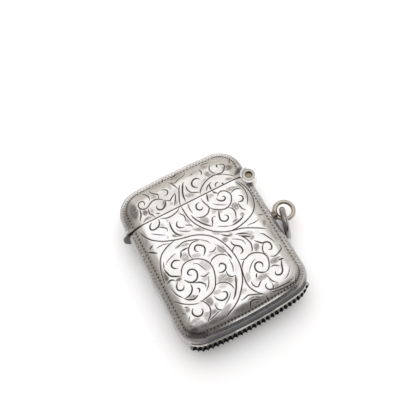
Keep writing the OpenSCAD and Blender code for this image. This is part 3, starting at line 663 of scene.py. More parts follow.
# Each patch of matted ground or of painted shade has a middle, two half lengths, a lean in degrees and a
# strength.
# Matted ground between the scrolls; the long patch on the base's left shoulder is painted shade.
body_matting_and_shade = [
    (11.6, -12.8, 1.8, 0.8, 0, 0.8), (9.2, -7.6, 0.8, 1.2, -25, 0.8), (6.6, -15.0, 1.8, 0.8, 0, 0.7),
    (-10.7, -11.3, 1.4, 0.5, -20, 0.9), (-7.6, -14.2, 1.0, 1.3, 0, 0.8), (-1.6, -11.2, 2.2, 1.5, -30, 0.7),
    (-14.1, -3.6, 0.7, 1.6, -15, 1.0), (-11.7, -5.8, 0.9, 0.5, 0, 0.9), (-7.8, -1.4, 1.1, 1.3, 0, 0.6),
    (-4.3, -5.6, 1.3, 1.8, 20, 0.45), (-5.1, -2.4, 1.3, 0.7, -20, 0.5), (1.2, -4.0, 1.0, 1.5, 25, 0.7),
    (-6.9, 4.7, 1.5, 0.5, -25, 1.0), (-1.2, 3.4, 1.9, 0.5, -32, 0.7), (1.0, 4.9, 1.2, 1.4, 30, 0.7),
    (9.9, 4.6, 1.1, 1.2, 0, 0.8), (8.0, 1.0, 1.0, 0.5, 10, 0.9), (10.4, 1.8, 0.6, 0.6, 0, 0.7),
    (3.2, -2.1, 0.9, 0.8, 0, 0.8), (5.0, -1.6, 0.7, 0.6, 0, 0.6), (8.3, -3.5, 1.9, 0.7, -30, 0.7),
    (9.4, -4.8, 0.8, 0.7, 0, 0.7), (11.6, 9.4, 2.0, 0.7, -15, 0.7), (5.7, 10.3, 1.0, 0.7, 0, 0.5),
    (-2.8, 6.9, 0.5, 1.1, 10, 0.6), (-9.1, 9.0, 0.8, 0.5, -30, 0.4), (-8.1, 1.9, 0.9, 0.4, 0, 0.7),
    (2.0, 0.6, 1.2, 0.6, -40, 0.6), (14.2, -2.9, 0.6, 1.0, -20, 0.6), (2.2, -18.6, 1.8, 0.6, -10, 0.8),
    (-4.9, -13.0, 1.2, 0.6, -10, 0.5), (3.4, -13.4, 0.8, 1.4, -25, 0.5), (12.0, -18.9, 1.6, 0.5, 15, 0.5),
    (0.5, -19.4, 5.0, 0.9, 0, 0.8), (-13.2, -13.4, 0.7, 0.9, 0, 0.7), (-12.6, -16.6, 1.5, 0.6, 10, 0.6),
    (-9.9, -16.5, 1.0, 0.6, 0, 0.5), (-7.6, -17.0, 1.0, 0.6, 0, 0.7), (-6.6, -15.6, 0.6, 0.6, 0, 0.4),
    (-5.9, -8.7, 0.9, 0.6, 0, 0.5), (-3.1, -12.4, 1.2, 0.6, -25, 0.4), (-15.0, -12.5, 0.8, 2.5, 0, 0.5),
    (-14.2, -18.7, 1.3, 0.8, 0, 0.8), (-9.0, -18.9, 4.0, 0.7, -5, 0.7), (10.4, -10.6, 0.3, 0.9, 0, 0.4),
    (7.9, -16.7, 0.35, 0.9, 0, 0.6), (8.4, -18.3, 1.0, 0.5, 0, 0.6), (2.4, -14.0, 0.5, 1.2, 0, 0.5),
    (0.6, -12.6, 0.5, 1.0, -20, 0.8), (0.9, -15.9, 1.0, 0.7, 0, 0.4), (14.6, -6.0, 0.5, 3.0, 0, 0.5),
    (9.5, -19.6, 4.0, 0.6, 0, 0.8), (-9.2, 8.7, 0.7, 0.4, -30, 0.5), (-7.3, 9.5, 0.4, 0.4, 0, 0.4),
    (-9.2, 5.4, 0.4, 0.4, 0, 0.4), (-6.3, 1.5, 1.2, 0.4, -10, 0.6), (-1.5, -3.9, 1.6, 0.5, 0, 0.4),
    (-14.8, 7.5, 0.9, 2.5, -15, 0.5), (4.4, 6.0, 0.8, 0.6, 0, 0.4), (5.9, 5.1, 0.5, 0.5, 0, 0.5),
    (4.6, 10.0, 0.5, 1.0, 0, 0.5), (13.6, 9.6, 0.6, 1.2, 0, 0.5), (14.4, 3.5, 0.4, 2.2, -10, 0.4),
    (9.5, -3.4, 1.3, 0.5, -30, 0.5),
]
# Painted shade on the base's shoulder and in the recess under the hinge barrel.
body_painted_shade = [
    (16.7, 8.2, 1.4, 1.0, -20, 0.9), (-1.4, -19.4, 3.4, 1.2, 4, 0.5), (-7.2, -18.7, 3.8, 1.0, 6, 0.6),
    (-12.6, -18.9, 2.8, 1.1, -12, 0.6), (-5.0, -17.7, 2.0, 0.7, 15, 0.55), (0.8, -19.6, 3.6, 0.8, 0, 0.45),
    (-13.4, -20.2, 3.2, 0.9, -24, 0.8), (14.6, -19.6, 1.5, 3.0, -40, 0.3),
    (0.5, -19.6, 1.8, 0.9, 20, 0.5), (-9.0, -17.1, 2.0, 0.9, 20, 0.45), (-12.4, -18.0, 1.6, 1.0, 10, 0.5),
]
# Strength of the painted shade along the edge of the base.
BODY_EDGE_SHADE = 0.92
POLISHED_SILVER = (0.92, 0.905, 0.893, 1)
WORN_SILVER = (0.70, 0.675, 0.64, 1)
BODY_WEAR = 0.52
# Stain in the cuts and dots, and the painted shade in the seam.
CUT_STAIN_AND_SEAM_SHADE = (0.075, 0.055, 0.047, 1)
# Colour of the matted ground and of the painted shade along the border and shoulders.
MATTED_AND_SHADED_SILVER = (0.25, 0.215, 0.185, 1)
# Grey of the painted shade on walls, edges and shoulders, and of the striker's dull film.
FILM_AND_SHADE_GREY = (0.1, 0.1, 0.11, 1)
# Scale, detail and the two levels of each noise.
CLOUDS = (420.0, 5.0, 0.42, 0.72)
SCUFFS = (2600.0, 4.0, 0.35, 0.75)
GRAIN = (1800.0, 3.0, 0.2, 0.5)
POLISH_ROUGHNESS = 0.16
WEAR_ROUGHNESS = 0.18
DIRT_ROUGHNESS = 0.3
SCUFF_HEIGHT = 0.08
SCUFF_DISTANCE = 0.00005
ENGRAVED_BUMP = 0.25


def shader_group(title, inputs, outputs):
    """Empty node group with named sockets: (name, kind, value) for inputs and (name, kind) for outputs."""
    group = bpy.data.node_groups.new(title, "ShaderNodeTree")
    for name, kind, value in inputs:
        socket = group.interface.new_socket(name, in_out="INPUT", socket_type=kind)
        socket.default_value = value
    for name, kind in outputs:
        group.interface.new_socket(name, in_out="OUTPUT", socket_type=kind)
    return group, group.nodes.new("NodeGroupInput"), group.nodes.new("NodeGroupOutput")


def add_node(tree, kind, **settings):
    """Node of one kind with its properties set."""
    node = tree.nodes.new(kind)
    for name, value in settings.items():
        setattr(node, name, value)
    return node


def feed(tree, socket, value):
    """Sets a socket from another socket or from a plain value."""
    if isinstance(value, bpy.types.NodeSocket):
        tree.links.new(value, socket)
    else:
        socket.default_value = value


def mixed_colour(tree, share, first, second):
    """Mix of two colours; each argument is a socket or a plain value."""
    node = add_node(tree, "ShaderNodeMix", data_type="RGBA")
    feed(tree, node.inputs[0], share)
    feed(tree, node.inputs[6], first)
    feed(tree, node.inputs[7], second)
    return node.outputs[2]


def reckoned(tree, operation, first, second):
    """Sum, product and so on of two values; each argument is a socket or a number."""
    node = add_node(tree, "ShaderNodeMath", operation=operation)
    feed(tree, node.inputs[0], first)
    feed(tree, node.inputs[1], second)
    return node.outputs[0]


def level_of(tree, value, low, high, rise="SMOOTHSTEP"):
    """Step from 0 to 1 between two levels of a value."""
    node = add_node(tree, "ShaderNodeMapRange", interpolation_type=rise)
    feed(tree, node.inputs["Value"], value)
    feed(tree, node.inputs["From Min"], low)
    feed(tree, node.inputs["From Max"], high)
    return node.outputs["Result"]


def noise_mask(tree, scale, detail, low, high):
    """Soft noise in the metal's own place, stretched between two levels."""
    noise = add_node(tree, "ShaderNodeTexNoise")
    feed(tree, noise.inputs["Vector"], add_node(tree, "ShaderNodeTexCoord").outputs["Object"])
    feed(tree, noise.inputs["Scale"], scale)
    feed(tree, noise.inputs["Detail"], detail)
    return level_of(tree, noise.outputs["Fac"], low, high, "LINEAR")


def mask_of(tree, title):
    """A mask that is stored on the points of the mesh."""
    return add_node(tree, "ShaderNodeAttribute", attribute_name=title).outputs["Fac"]


wear_group, wear_in, wear_out = shader_group(
    "handled metal",
    [("Polished", "NodeSocketColor", POLISHED_SILVER), ("Worn", "NodeSocketColor", WORN_SILVER),
     ("Wear", "NodeSocketFloat", BODY_WEAR)],
    [("Color", "NodeSocketColor"), ("Roughness", "NodeSocketFloat"), ("Height", "NodeSocketFloat")])
clouding = noise_mask(wear_group, *CLOUDS)
scuffing = noise_mask(wear_group, *SCUFFS)
rubbed = reckoned(wear_group, "MULTIPLY", clouding, wear_in.outputs["Wear"])
wear_group.links.new(mixed_colour(wear_group, rubbed, wear_in.outputs["Polished"], wear_in.outputs["Worn"]),
                     wear_out.inputs["Color"])
dulling = reckoned(wear_group, "MULTIPLY", rubbed, WEAR_ROUGHNESS)
dulling = reckoned(wear_group, "ADD", dulling, POLISH_ROUGHNESS)
wear_group.links.new(dulling, wear_out.inputs["Roughness"])
wear_group.links.new(reckoned(wear_group, "MULTIPLY", scuffing, SCUFF_HEIGHT), wear_out.inputs["Height"])


def handled_metal(title, polished, worn, wear, bump):
    """Metal with clouded polish and fine scuffs: the material, its shader and the wear node."""
    material = bpy.data.materials.new(title)
    material.use_nodes = True
    tree = material.node_tree
    shader = tree.nodes["Principled BSDF"]
    handled = add_node(tree, "ShaderNodeGroup", node_tree=wear_group)
    feed(tree, handled.inputs["Polished"], polished)
    feed(tree, handled.inputs["Worn"], worn)
    feed(tree, handled.inputs["Wear"], wear)
    relief = add_node(tree, "ShaderNodeBump")
    feed(tree, relief.inputs["Strength"], bump)
    feed(tree, relief.inputs["Distance"], SCUFF_DISTANCE)
    feed(tree, relief.inputs["Height"], handled.outputs["Height"])
    feed(tree, shader.inputs["Metallic"], 1.0)
    feed(tree, shader.inputs["Base Color"], handled.outputs["Color"])
    feed(tree, shader.inputs["Roughness"], handled.outputs["Roughness"])
    feed(tree, shader.inputs["Normal"], relief.outputs["Normal"])
    return material, shader, handled


def engraved_metal(title, polished, worn, wear, stain_and_shade_colour):
    """Handled silver with dark stain in the graver's cuts and matted ground between the scrolls, and
    painted shade carried in the same masks.
    """
    material, shader, handled = handled_metal(title, polished, worn, wear, ENGRAVED_BUMP)
    tree = material.node_tree
    cut = mask_of(tree, "cut")
    matted_and_shaded = reckoned(tree, "MULTIPLY", mask_of(tree, "ground"), noise_mask(tree, *GRAIN))
    film_and_painted_shade = mask_of(tree, "film_and_painted_shade")
    # Matted ground, with the painted shade along the border and shoulders.
    colour = mixed_colour(tree, matted_and_shaded, handled.outputs["Color"], MATTED_AND_SHADED_SILVER)
    # Painted shade on the walls, edges and shoulders.
    colour = mixed_colour(tree, film_and_painted_shade, colour, FILM_AND_SHADE_GREY)
    # Stain in the cuts, and painted shade in the seam and in the striker's notches.
    colour = mixed_colour(tree, cut, colour, stain_and_shade_colour)
    tree.links.new(colour, shader.inputs["Base Color"])
    dirt_and_shade = reckoned(tree, "MAXIMUM", matted_and_shaded, reckoned(tree, "MAXIMUM", film_and_painted_shade, cut))
    roughening = reckoned(tree, "MULTIPLY", dirt_and_shade, DIRT_ROUGHNESS)
    rough = reckoned(tree, "ADD", handled.outputs["Roughness"], roughening)
    tree.links.new(rough, shader.inputs["Roughness"])
    return material


def coat(piece, material):
    """Gives a piece one finish all over."""
    piece.data.materials.clear()
    piece.data.materials.append(material)


body_silver = engraved_metal("engraved_silver", POLISHED_SILVER, WORN_SILVER, BODY_WEAR, CUT_STAIN_AND_SEAM_SHADE)
for node, face, step in (("body_front", 1.0, FINE_STEP), ("body_back", -1.0, BACK_STEP)):
    shell = half_shell("engraved_" + node, BODY_CORNER, BODY_TURN, -HALF_HEIGHT, SEAM_Y - SEAM_GAP / 2,
                       face, step, body_strokes, body_matting_and_shade, body_painted_shade, BODY_EDGE_SHADE)
    cut_notch(shell)
    coat(shell, body_silver)
    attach(shell, "case")
    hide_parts(node)

# Lid
# Two shorter struck halves soldered like the body's, hinged on the right and closed by a spring.
# Its scrolls carry on from the body's across the seam, and its silver is coloured greyer than the body's.
LID_CORNER = 6.8
LID_TURN = 3.3
LID_TOP = 22.995
LID_POLISHED = (0.82, 0.795, 0.765, 1)
LID_WORN = (0.6, 0.57, 0.53, 1)
LID_WEAR = 0.55
lid_strokes = [
    (LINE, [(-10.8, 16.15), (-10.4, 16.6), (-10.35, 17.1), (-10.7, 17.55), (-11.3, 17.65), (-11.9, 17.4),
            (-12.2, 16.8), (-12.2, 16.2), (-11.9, 15.7), (-11.3, 15.3), (-10.7, 15.25), (-10.1, 15.4),
            (-9.6, 15.7), (-9.2, 16.0), (-8.5, 16.25), (-7.7, 16.4), (-7.0, 16.2), (-6.3, 15.8),
            (-5.7, 15.3)]),
    (LINE, [(-10.2, 15.0), (-10.4, 14.2), (-10.5, 13.4), (-10.1, 13.0), (-9.9, 12.4), (-9.6, 11.8)]),
    (BOLD, [(-12.2, 15.9), (-12.4, 15.2), (-12.5, 14.5), (-12.8, 13.9), (-13.3, 13.3), (-13.6, 12.7)]),
    (FINE, [(-13.0, 12.0), (-12.2, 12.4), (-11.5, 12.6), (-10.8, 12.4)]),
    (LINE, [(-9.0, 12.7), (-8.4, 12.4), (-8.1, 12.2)]),
    (BOLD, [(-5.4, 15.0), (-5.5, 14.5), (-5.75, 13.9), (-6.35, 13.25), (-7.3, 13.0), (-8.0, 13.45),
            (-8.2, 14.1), (-8.0, 14.6)]),
    (LINE, [(-10.0, 19.4), (-9.3, 18.9), (-8.9, 18.3), (-8.7, 17.7), (-8.75, 16.9)]),
    (LINE, [(-7.9, 19.3), (-7.7, 18.7), (-7.3, 18.2), (-6.7, 17.7), (-6.3, 17.4), (-6.4, 16.8),
            (-6.5, 16.2)]),
    (LINE, [(-4.9, 18.1), (-4.2, 17.8), (-3.7, 17.3), (-3.6, 16.9), (-3.9, 16.4), (-4.4, 16.1),
            (-4.9, 16.3)]),
    (FINE, [(-10.0, 20.1), (-9.2, 20.1), (-8.2, 20.0), (-7.2, 19.8)]),
    (LINE, [(-3.5, 20.9), (-3.4, 20.4), (-3.5, 20.0)]),
    (LINE, [(-1.5, 20.4), (-1.0, 20.1), (-0.3, 20.0), (0.3, 20.2), (0.8, 20.7)]),
    (FINE, [(-1.5, 19.7), (-0.9, 19.4)]),
    (LINE, [(-5.3, 14.9), (-4.7, 14.5), (-4.2, 14.2), (-3.7, 14.6), (-3.1, 15.0), (-2.5, 15.3),
            (-2.2, 15.6)]),
    (LINE, [(-2.2, 15.6), (-2.25, 15.1), (-2.5, 14.5), (-2.9, 13.8), (-3.4, 13.0), (-3.9, 12.4)]),
    (LINE, [(0.0, 17.0), (-0.5, 16.4), (-0.9, 15.7), (-1.2, 15.0), (-1.6, 14.2), (-2.0, 13.3),
            (-2.3, 12.4), (-2.5, 11.7)]),
    (BOLD, [(1.25, 17.3), (0.8, 16.8), (0.35, 16.0), (-0.1, 15.2), (-0.4, 14.4), (-0.6, 13.6),
            (-0.7, 12.8), (-0.72, 12.1)]),
    (LINE, [(1.3, 16.2), (1.15, 15.5), (1.15, 14.8), (1.4, 14.1), (1.9, 13.5), (2.6, 13.1), (3.3, 12.8),
            (3.85, 12.65)]),
    (LINE, [(3.6, 12.1), (3.8, 12.6), (4.4, 13.25), (5.25, 13.95), (6.5, 14.65), (7.9, 15.05),
            (9.25, 15.15), (10.4, 14.85), (11.6, 14.2)]),
    (FINE, [(11.2, 14.45), (12.2, 13.8), (13.2, 13.05), (14.1, 12.15)]),
    (BOLD, [(5.4, 15.95), (5.0, 16.4), (4.5, 16.7), (3.8, 16.6), (3.2, 16.2), (2.85, 15.6), (2.9, 15.0),
            (3.2, 14.5), (3.9, 14.0)]),
    (LINE, [(5.4, 12.1), (5.9, 12.8), (6.4, 13.2), (7.0, 13.5), (7.7, 13.7)]),
    (BOLD, [(6.95, 13.4), (6.75, 12.7), (6.7, 11.7)]),
    (LINE, [(8.1, 12.0), (8.3, 12.6), (8.8, 12.9), (9.4, 12.8)]),
    (BOLD, [(10.0, 12.2), (10.25, 11.7)]),
    (LINE, [(6.5, 18.6), (6.7, 18.0), (6.72, 17.4), (6.4, 16.9)]),
    (LINE, [(9.6, 18.4), (9.2, 17.8), (8.95, 17.2), (9.1, 16.5), (9.5, 15.9), (10.0, 15.4)]),
    (BOLD, [(11.3, 17.65), (11.15, 17.2), (11.2, 16.8)]),
    (LINE, [(11.4, 17.6), (12.2, 17.3), (12.9, 16.9), (13.1, 16.4), (12.8, 15.9), (12.4, 15.4),
            (11.9, 15.0), (11.3, 14.85), (10.6, 15.0), (10.1, 15.4)]),
    (FINE, [(-1.9, 18.6), (-1.5, 18.6), (-0.9, 18.15), (-0.4, 18.4), (0.3, 18.7), (1.0, 18.85),
            (1.8, 18.9), (2.4, 19.2), (2.9, 19.6)]),
    (LINE, [(-2.3, 19.1), (-1.75, 18.45), (-1.35, 17.6), (-0.95, 16.4)]),
    (FINE, [(3.5, 18.2), (4.2, 18.3), (4.6, 18.5)]),
    (FINE, [(7.0, 19.0), (7.7, 19.3), (8.4, 19.4), (9.2, 19.2), (9.8, 19.3)]),
    (LINE, [(15.3, 17.8), (15.0, 17.2), (14.7, 16.6), (14.4, 16.2)]),
]
# Matted ground between the scrolls; the tall patch at the lid's left end is painted shade.
lid_matting_and_shade = [
    (-11.4, 14.2, 0.8, 0.9, 0, 0.9), (-11.4, 12.5, 1.3, 0.5, 0, 0.6), (-5.9, 14.1, 0.6, 1.2, -30, 0.8),
    (1.0, 13.1, 1.4, 0.7, -20, 0.6), (7.8, 16.4, 0.8, 0.8, 0, 0.7), (13.4, 15.4, 1.6, 0.9, -20, 0.9),
    (-3.0, 13.3, 0.5, 1.2, -25, 0.6), (12.2, 12.3, 1.1, 0.5, -20, 0.7), (-13.8, 15.8, 1.2, 2.2, -8, 0.8),
    (8.6, 15.6, 1.2, 0.4, 0, 0.6), (-7.6, 17.2, 0.8, 0.8, 0, 0.5), (0.3, 19.6, 2.2, 0.5, 0, 0.5),
    (-6.0, 19.7, 2.0, 0.6, 0, 0.4), (-4.3, 13.2, 0.6, 0.6, 0, 0.4), (-2.6, 17.6, 0.5, 0.8, 0, 0.4),
    (6.2, 15.1, 0.9, 0.3, 20, 0.4), (8.1, 18.5, 0.8, 0.5, 0, 0.5), (-9.6, 13.9, 0.4, 0.9, 0, 0.4),
]
# Painted shade beside the hinge and on the lid's left shoulder.
lid_painted_shade = [
    (15.4, 13.1, 1.7, 0.6, 25, 0.8), (-14.4, 16.2, 1.7, 3.2, -10, 0.42), (-16.3, 15.0, 0.6, 3.4, -8, 0.45),
]
lid_silver = engraved_metal("greyer_lid_silver", LID_POLISHED, LID_WORN, LID_WEAR, CUT_STAIN_AND_SEAM_SHADE)
for node, face, step in (("lid_front", 1.0, FINE_STEP), ("lid_back", -1.0, BACK_STEP)):
    shell = half_shell("engraved_" + node, LID_CORNER, LID_TURN, LID_TOP, SEAM_Y + SEAM_GAP / 2,
                       face, step, lid_strokes, lid_matting_and_shade, lid_painted_shade, WALL_SHADE)
    cut_notch(shell)
    coat(shell, lid_silver)
    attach(shell, "lid")
    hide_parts(node)

# Striker
# A strip of silver soldered round the base, filed across with half-round notches to strike a match on.
# The notches are painted black as the shade in them, and the front of the strip's left part is painted dark
# too; the teeth and the edge of the rim are rubbed bright.
BODY_BEND, BODY_BOW, BODY_DEPTH = end_bow(BODY_CORNER, BODY_TURN)
STRIP_HALF = 2.35
STRIP_WRAP = math.radians(44.0)
SOLDER = 0.03
RIM_OUT = 0.36
RIM_TOP_OUT = 0.16
RIM_LOW = 2.1
TOOTH_OUT = 1.15
TOOTH_TOP = 1.6
TOOTH_PITCH = 1.3
TOOTH_STEPS = 16
TOOTH_ANGLE = math.radians(50.0)
NOTCH_HALF = 0.64
NOTCH_RISE = 2.12
NOTCH_SQUARENESS = 8
NOTCH_DEPTH = 0.5
NOTCH_FLOOR = 0.1
# Black painted into the notches as shade.
NOTCH_SHADE = (0.012, 0.012, 0.014, 1)
NOTCH_STEEP = 4.0
NOTCH_START = 0.2
STRUCK_POLISHED = (0.72, 0.69, 0.65, 1)
STRUCK_WORN = (0.42, 0.39, 0.36, 1)
STRUCK_WEAR = 0.8
RIM_FILM = 0.15
# Dark band painted on the front of the strip's left part.
DARK_BAND_RISE = (-1.2, 2.1)
DARK_BAND_FADE = (0.3, 0.1)
DARK_BAND_PLACES = (-19.0, -15.0, -3.0, 4.0)
DARK_BAND_SHARES = (0.3, 0.85, 0.85, 0.0)
STRIP_PLACES = (-17.5, -14.0, -9.0, -5.0, -1.5, 11.0, 17.5)
STRIP_SHARES = (0.75, 1.05, 1.2, 1.08, 1.0, 1.0, 0.7)
STRIP_STEP = TOOTH_PITCH / TOOTH_STEPS
STRIP_ROWS = 55
STRIP_BACK_ROWS = 14


def base_path(travel):
    """Points on the outline of the base and outward normals, by distance along the tips of the teeth."""
    bow_length = (BODY_BOW + TOOTH_OUT) * BODY_BEND
    far = np.abs(travel)
    lean = np.minimum(far, bow_length) / (BODY_BOW + TOOTH_OUT)
    lean += np.maximum(far - bow_length, 0.0) / (BODY_CORNER + TOOTH_OUT)
    side = np.sign(travel)
    outward = np.stack([side * np.sin(lean), -np.cos(lean)], 1)
    on_bow = far <= bow_length
    middle_x = np.where(on_bow, 0.0, side * (HALF_WIDTH - BODY_CORNER))
    middle_y = np.where(on_bow, BODY_BOW, BODY_DEPTH) - HALF_HEIGHT
    radius = np.where(on_bow, BODY_BOW, BODY_CORNER)
    return np.stack([middle_x, middle_y], 1) + radius[:, None] * outward, outward


def strip_back(rise):
    """How far out the back of the strip lies, following the rounded edge of the base."""
    curve = np.maximum(np.abs(rise) - WALL_RISE, 0.0)
    return SOLDER - (EDGE_RADIUS - np.sqrt(EDGE_RADIUS ** 2 - curve ** 2))


def striker_piece():
    """The strip as a closed mesh: rings of its section, one at each step along the base."""
    reach = (BODY_BOW + TOOTH_OUT) * BODY_BEND + (BODY_CORNER + TOOTH_OUT) * (STRIP_WRAP - BODY_BEND)
    travel = np.linspace(-reach, reach, 2 * round(reach / STRIP_STEP) + 1)
    points, outward = base_path(travel)
    front = np.linspace(STRIP_HALF, -STRIP_HALF, STRIP_ROWS)
    behind = np.linspace(-STRIP_HALF, STRIP_HALF, STRIP_BACK_ROWS)
    solid_out = np.interp(np.abs(front), (0.0, TOOTH_TOP, RIM_LOW, STRIP_HALF),
                          (TOOTH_OUT, TOOTH_OUT, RIM_OUT, RIM_TOP_OUT))
    nearest = (np.floor(np.abs(travel) / TOOTH_PITCH) + 0.5) * TOOTH_PITCH
    across = (np.abs(travel) - nearest) / NOTCH_HALF
    oval = across[:, None] ** 2 + (front[None, :] / NOTCH_RISE) ** NOTCH_SQUARENESS
    oval += (nearest > reach - NOTCH_HALF)[:, None]
    notch = np.sqrt(np.clip(1.0 - oval, 0.0, 1.0))
    spare = solid_out - strip_back(front) - NOTCH_FLOOR
    front_out = solid_out[None, :] - np.minimum(NOTCH_DEPTH * notch, spare[None, :])
    stout = np.interp(travel, STRIP_PLACES, STRIP_SHARES)
    front_out = strip_back(front) + (front_out - strip_back(front)) * stout[:, None]
    out = np.concatenate([front_out, np.broadcast_to(strip_back(behind), (len(travel), len(behind)))], 1)
    rise = np.concatenate([front, behind])
    plan = points[:, None, :] + out[:, :, None] * outward[:, None, :]
    height = np.broadcast_to(rise[None, :, None] + MIDDLE_Z, out.shape + (1,))
    places = np.concatenate([plan, height], 2).reshape(-1, 3)
    rings = np.arange(out.size).reshape(out.shape)
    looped = np.concatenate([rings, rings[:, :1]], 1)
    faces = grid_faces(looped, True)
    faces += [rings[0][::-1].tolist(), rings[-1].tolist()]
    mesh = bpy.data.meshes.new("notched_striker")
    mesh.from_pydata(places * MM, [], faces)
    # Painted shade: black in the notches, and the dark band on the left front.
    black = np.zeros(out.shape)
    darkened = ease((DARK_BAND_RISE[1] - front) / DARK_BAND_FADE[1])
    darkened *= ease((front - DARK_BAND_RISE[0]) / DARK_BAND_FADE[0])
    darkened = np.interp(travel, DARK_BAND_PLACES, DARK_BAND_SHARES)[:, None] * darkened[None, :]
    black[:, :len(front)] = np.maximum(ease(notch * NOTCH_STEEP - NOTCH_START), darkened)
    edge = np.full(out.shape, RIM_FILM)
    edge[:, len(front):] = 1.0
    store_mask(mesh, "cut", black.reshape(-1))
    store_mask(mesh, "film_and_painted_shade", edge.reshape(-1))
    mesh.shade_smooth()
    mesh.set_sharp_from_angle(angle=TOOTH_ANGLE)
    return new_piece(mesh)


striker = striker_piece()
striker_silver = engraved_metal("struck_silver", STRUCK_POLISHED, STRUCK_WORN, STRUCK_WEAR, NOTCH_SHADE)
coat(striker, striker_silver)
striker_tree = striker_silver.node_tree
striker_shader = striker_tree.nodes["Principled BSDF"]
# The black painted in the notches is not metal.
bare_metal = reckoned(striker_tree, "SUBTRACT", 1.0, mask_of(striker_tree, "cut"))
striker_tree.links.new(bare_metal, striker_shader.inputs["Metallic"])
striker_shader.inputs["Specular IOR Level"].default_value = 0.0
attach(striker, "case")
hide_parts("striker_strip")

# Mouth bezel and spring keeper
# Thin strips of rolled silver, bent up and soldered inside the mouth; they keep more of their first polish.
# A finish is the polished colour, the worn colour, the share of wear and the strength of the scuffs.
INNER_FINISH = ((0.80, 0.775, 0.735, 1), (0.5, 0.475, 0.44, 1), 0.7, 0.3)
inner_silver = handled_metal("inner_silver", *INNER_FINISH)[0]
coat(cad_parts["mouth_bezel"], inner_silver)
coat(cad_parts["spring_keeper"], inner_silver)

# Thumbpiece
# A lip of thick silver, filed to a crescent and soldered to the lid's free side.
# Its upper part keeps the metal's colour; its lower part and its edge at the seam are painted dark as
# shade.
THUMB_FINISH = ((0.66, 0.64, 0.6, 1), (0.42, 0.4, 0.37, 1), 0.7, 0.3)
# Painted shade on the lower part of the lip and at the seam.
THUMB_SHADE = (0.11, 0.106, 0.102, 1)
THUMB_SHADE_HEIGHTS = (0.0052, 0.0086)
THUMB_SHADE_EDGE = (0.0116, 0.0119)


def place_of(tree):
    """Coordinates of the surface in the case's own frame, in metres."""
    split = add_node(tree, "ShaderNodeSeparateXYZ")
    tree.links.new(add_node(tree, "ShaderNodeTexCoord").outputs["Object"], split.inputs["Vector"])
    return split.outputs


thumb_silver, thumb_shader, thumb_wear = handled_metal("lip_with_painted_shade", *THUMB_FINISH)
thumb_tree = thumb_silver.node_tree
thumb_place = place_of(thumb_tree)
# Painted shade below and at the seam; the rest keeps the metal's colour.
unshaded_part = reckoned(thumb_tree, "MULTIPLY", level_of(thumb_tree, thumb_place["Z"], *THUMB_SHADE_HEIGHTS),
                        level_of(thumb_tree, thumb_place["Y"], *THUMB_SHADE_EDGE))
thumb_tree.links.new(mixed_colour(thumb_tree, unshaded_part, THUMB_SHADE, thumb_wear.outputs["Color"]),
                     thumb_shader.inputs["Base Color"])
coat(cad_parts["thumbpiece"], thumb_silver)

# Hinge
# Three lengths of silver tube on a brass pin, cradled by two curved bearers soldered into the notch.
# The ends of the tubes are coloured dark within about a millimetre of the pin's axis.
KNUCKLE_FINISH = ((0.55, 0.53, 0.5, 1), (0.34, 0.32, 0.295, 1), 0.8, 0.4)
PIN_FINISH = ((0.32, 0.265, 0.18, 1), (0.16, 0.132, 0.095, 1), 0.8, 0.4)
BEARER_FINISH = ((0.84, 0.82, 0.785, 1), (0.5, 0.475, 0.44, 1), 0.6, 0.3)
PIN_RING_DARK = (0.05, 0.043, 0.035, 1)
PIN_RING_REACH = (0.00088, 0.00112)


def distance_from(tree, middle_x, middle_y):
    """Distance of the surface from an upright line, in metres."""
    place = place_of(tree)
    off_x = reckoned(tree, "SUBTRACT", place["X"], middle_x)
    off_y = reckoned(tree, "SUBTRACT", place["Y"], middle_y)
    squared_x = reckoned(tree, "MULTIPLY", off_x, off_x)
    squared_y = reckoned(tree, "MULTIPLY", off_y, off_y)
    squared = reckoned(tree, "ADD", squared_x, squared_y)
    return reckoned(tree, "SQRT", squared, 0.0)


knuckle_silver, knuckle_shader, knuckle_wear = handled_metal("hinge_silver", *KNUCKLE_FINISH)
knuckle_tree = knuckle_silver.node_tree
off_pin = distance_from(knuckle_tree, HINGE[0] * MM, HINGE[1] * MM)
past_pin_ring = level_of(knuckle_tree, off_pin, *PIN_RING_REACH)
knuckle_tree.links.new(mixed_colour(knuckle_tree, past_pin_ring, PIN_RING_DARK, knuckle_wear.outputs["Color"]),
                       knuckle_shader.inputs["Base Color"])
for knuckle in ("front_knuckle", "back_knuckle", "lid_knuckle"):
    coat(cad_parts[knuckle], knuckle_silver)
coat(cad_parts["hinge_pin"], handled_metal("dull_brass", *PIN_FINISH)[0])
bearer_silver = handled_metal("bearer_silver", *BEARER_FINISH)[0]
coat(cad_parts["body_bearer"], bearer_silver)
coat(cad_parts["lid_bearer"], bearer_silver)

# Lid spring
# A leaf of dull spring steel, bent and held at its foot, whose tip rides the flats of the lid's knuckle.
SPRING_FINISH = ((0.45, 0.46, 0.48, 1), (0.30, 0.30, 0.31, 1), 0.6, 0.3)
coat(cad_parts["lid_spring"], handled_metal("dull_steel", *SPRING_FINISH)[0])

# Hanging loop and stud
# Silver wire bent into a loop and soldered to a short stud on the wall; the loop is coloured tan and the
# stud dark brown.
LOOP_FINISH = ((0.64, 0.59, 0.53, 1), (0.38, 0.34, 0.295, 1), 0.8, 0.4)
STUD_FINISH = ((0.26, 0.215, 0.175, 1), (0.10, 0.08, 0.068, 1), 0.8, 0.5)
coat(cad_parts["hanging_loop"], handled_metal("browned_silver", *LOOP_FINISH)[0])
coat(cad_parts["loop_stud"], handled_metal("stud_silver", *STUD_FINISH)[0])

# Jump ring
# A loose ring of thick silver wire, bent shut through the loop and tarnished almost to gunmetal.
RING_FINISH = ((0.42, 0.385, 0.38, 1), (0.2, 0.182, 0.18, 1), 0.8, 0.4)
coat(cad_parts["jump_ring"], handled_metal("tarnished_silver", *RING_FINISH)[0])

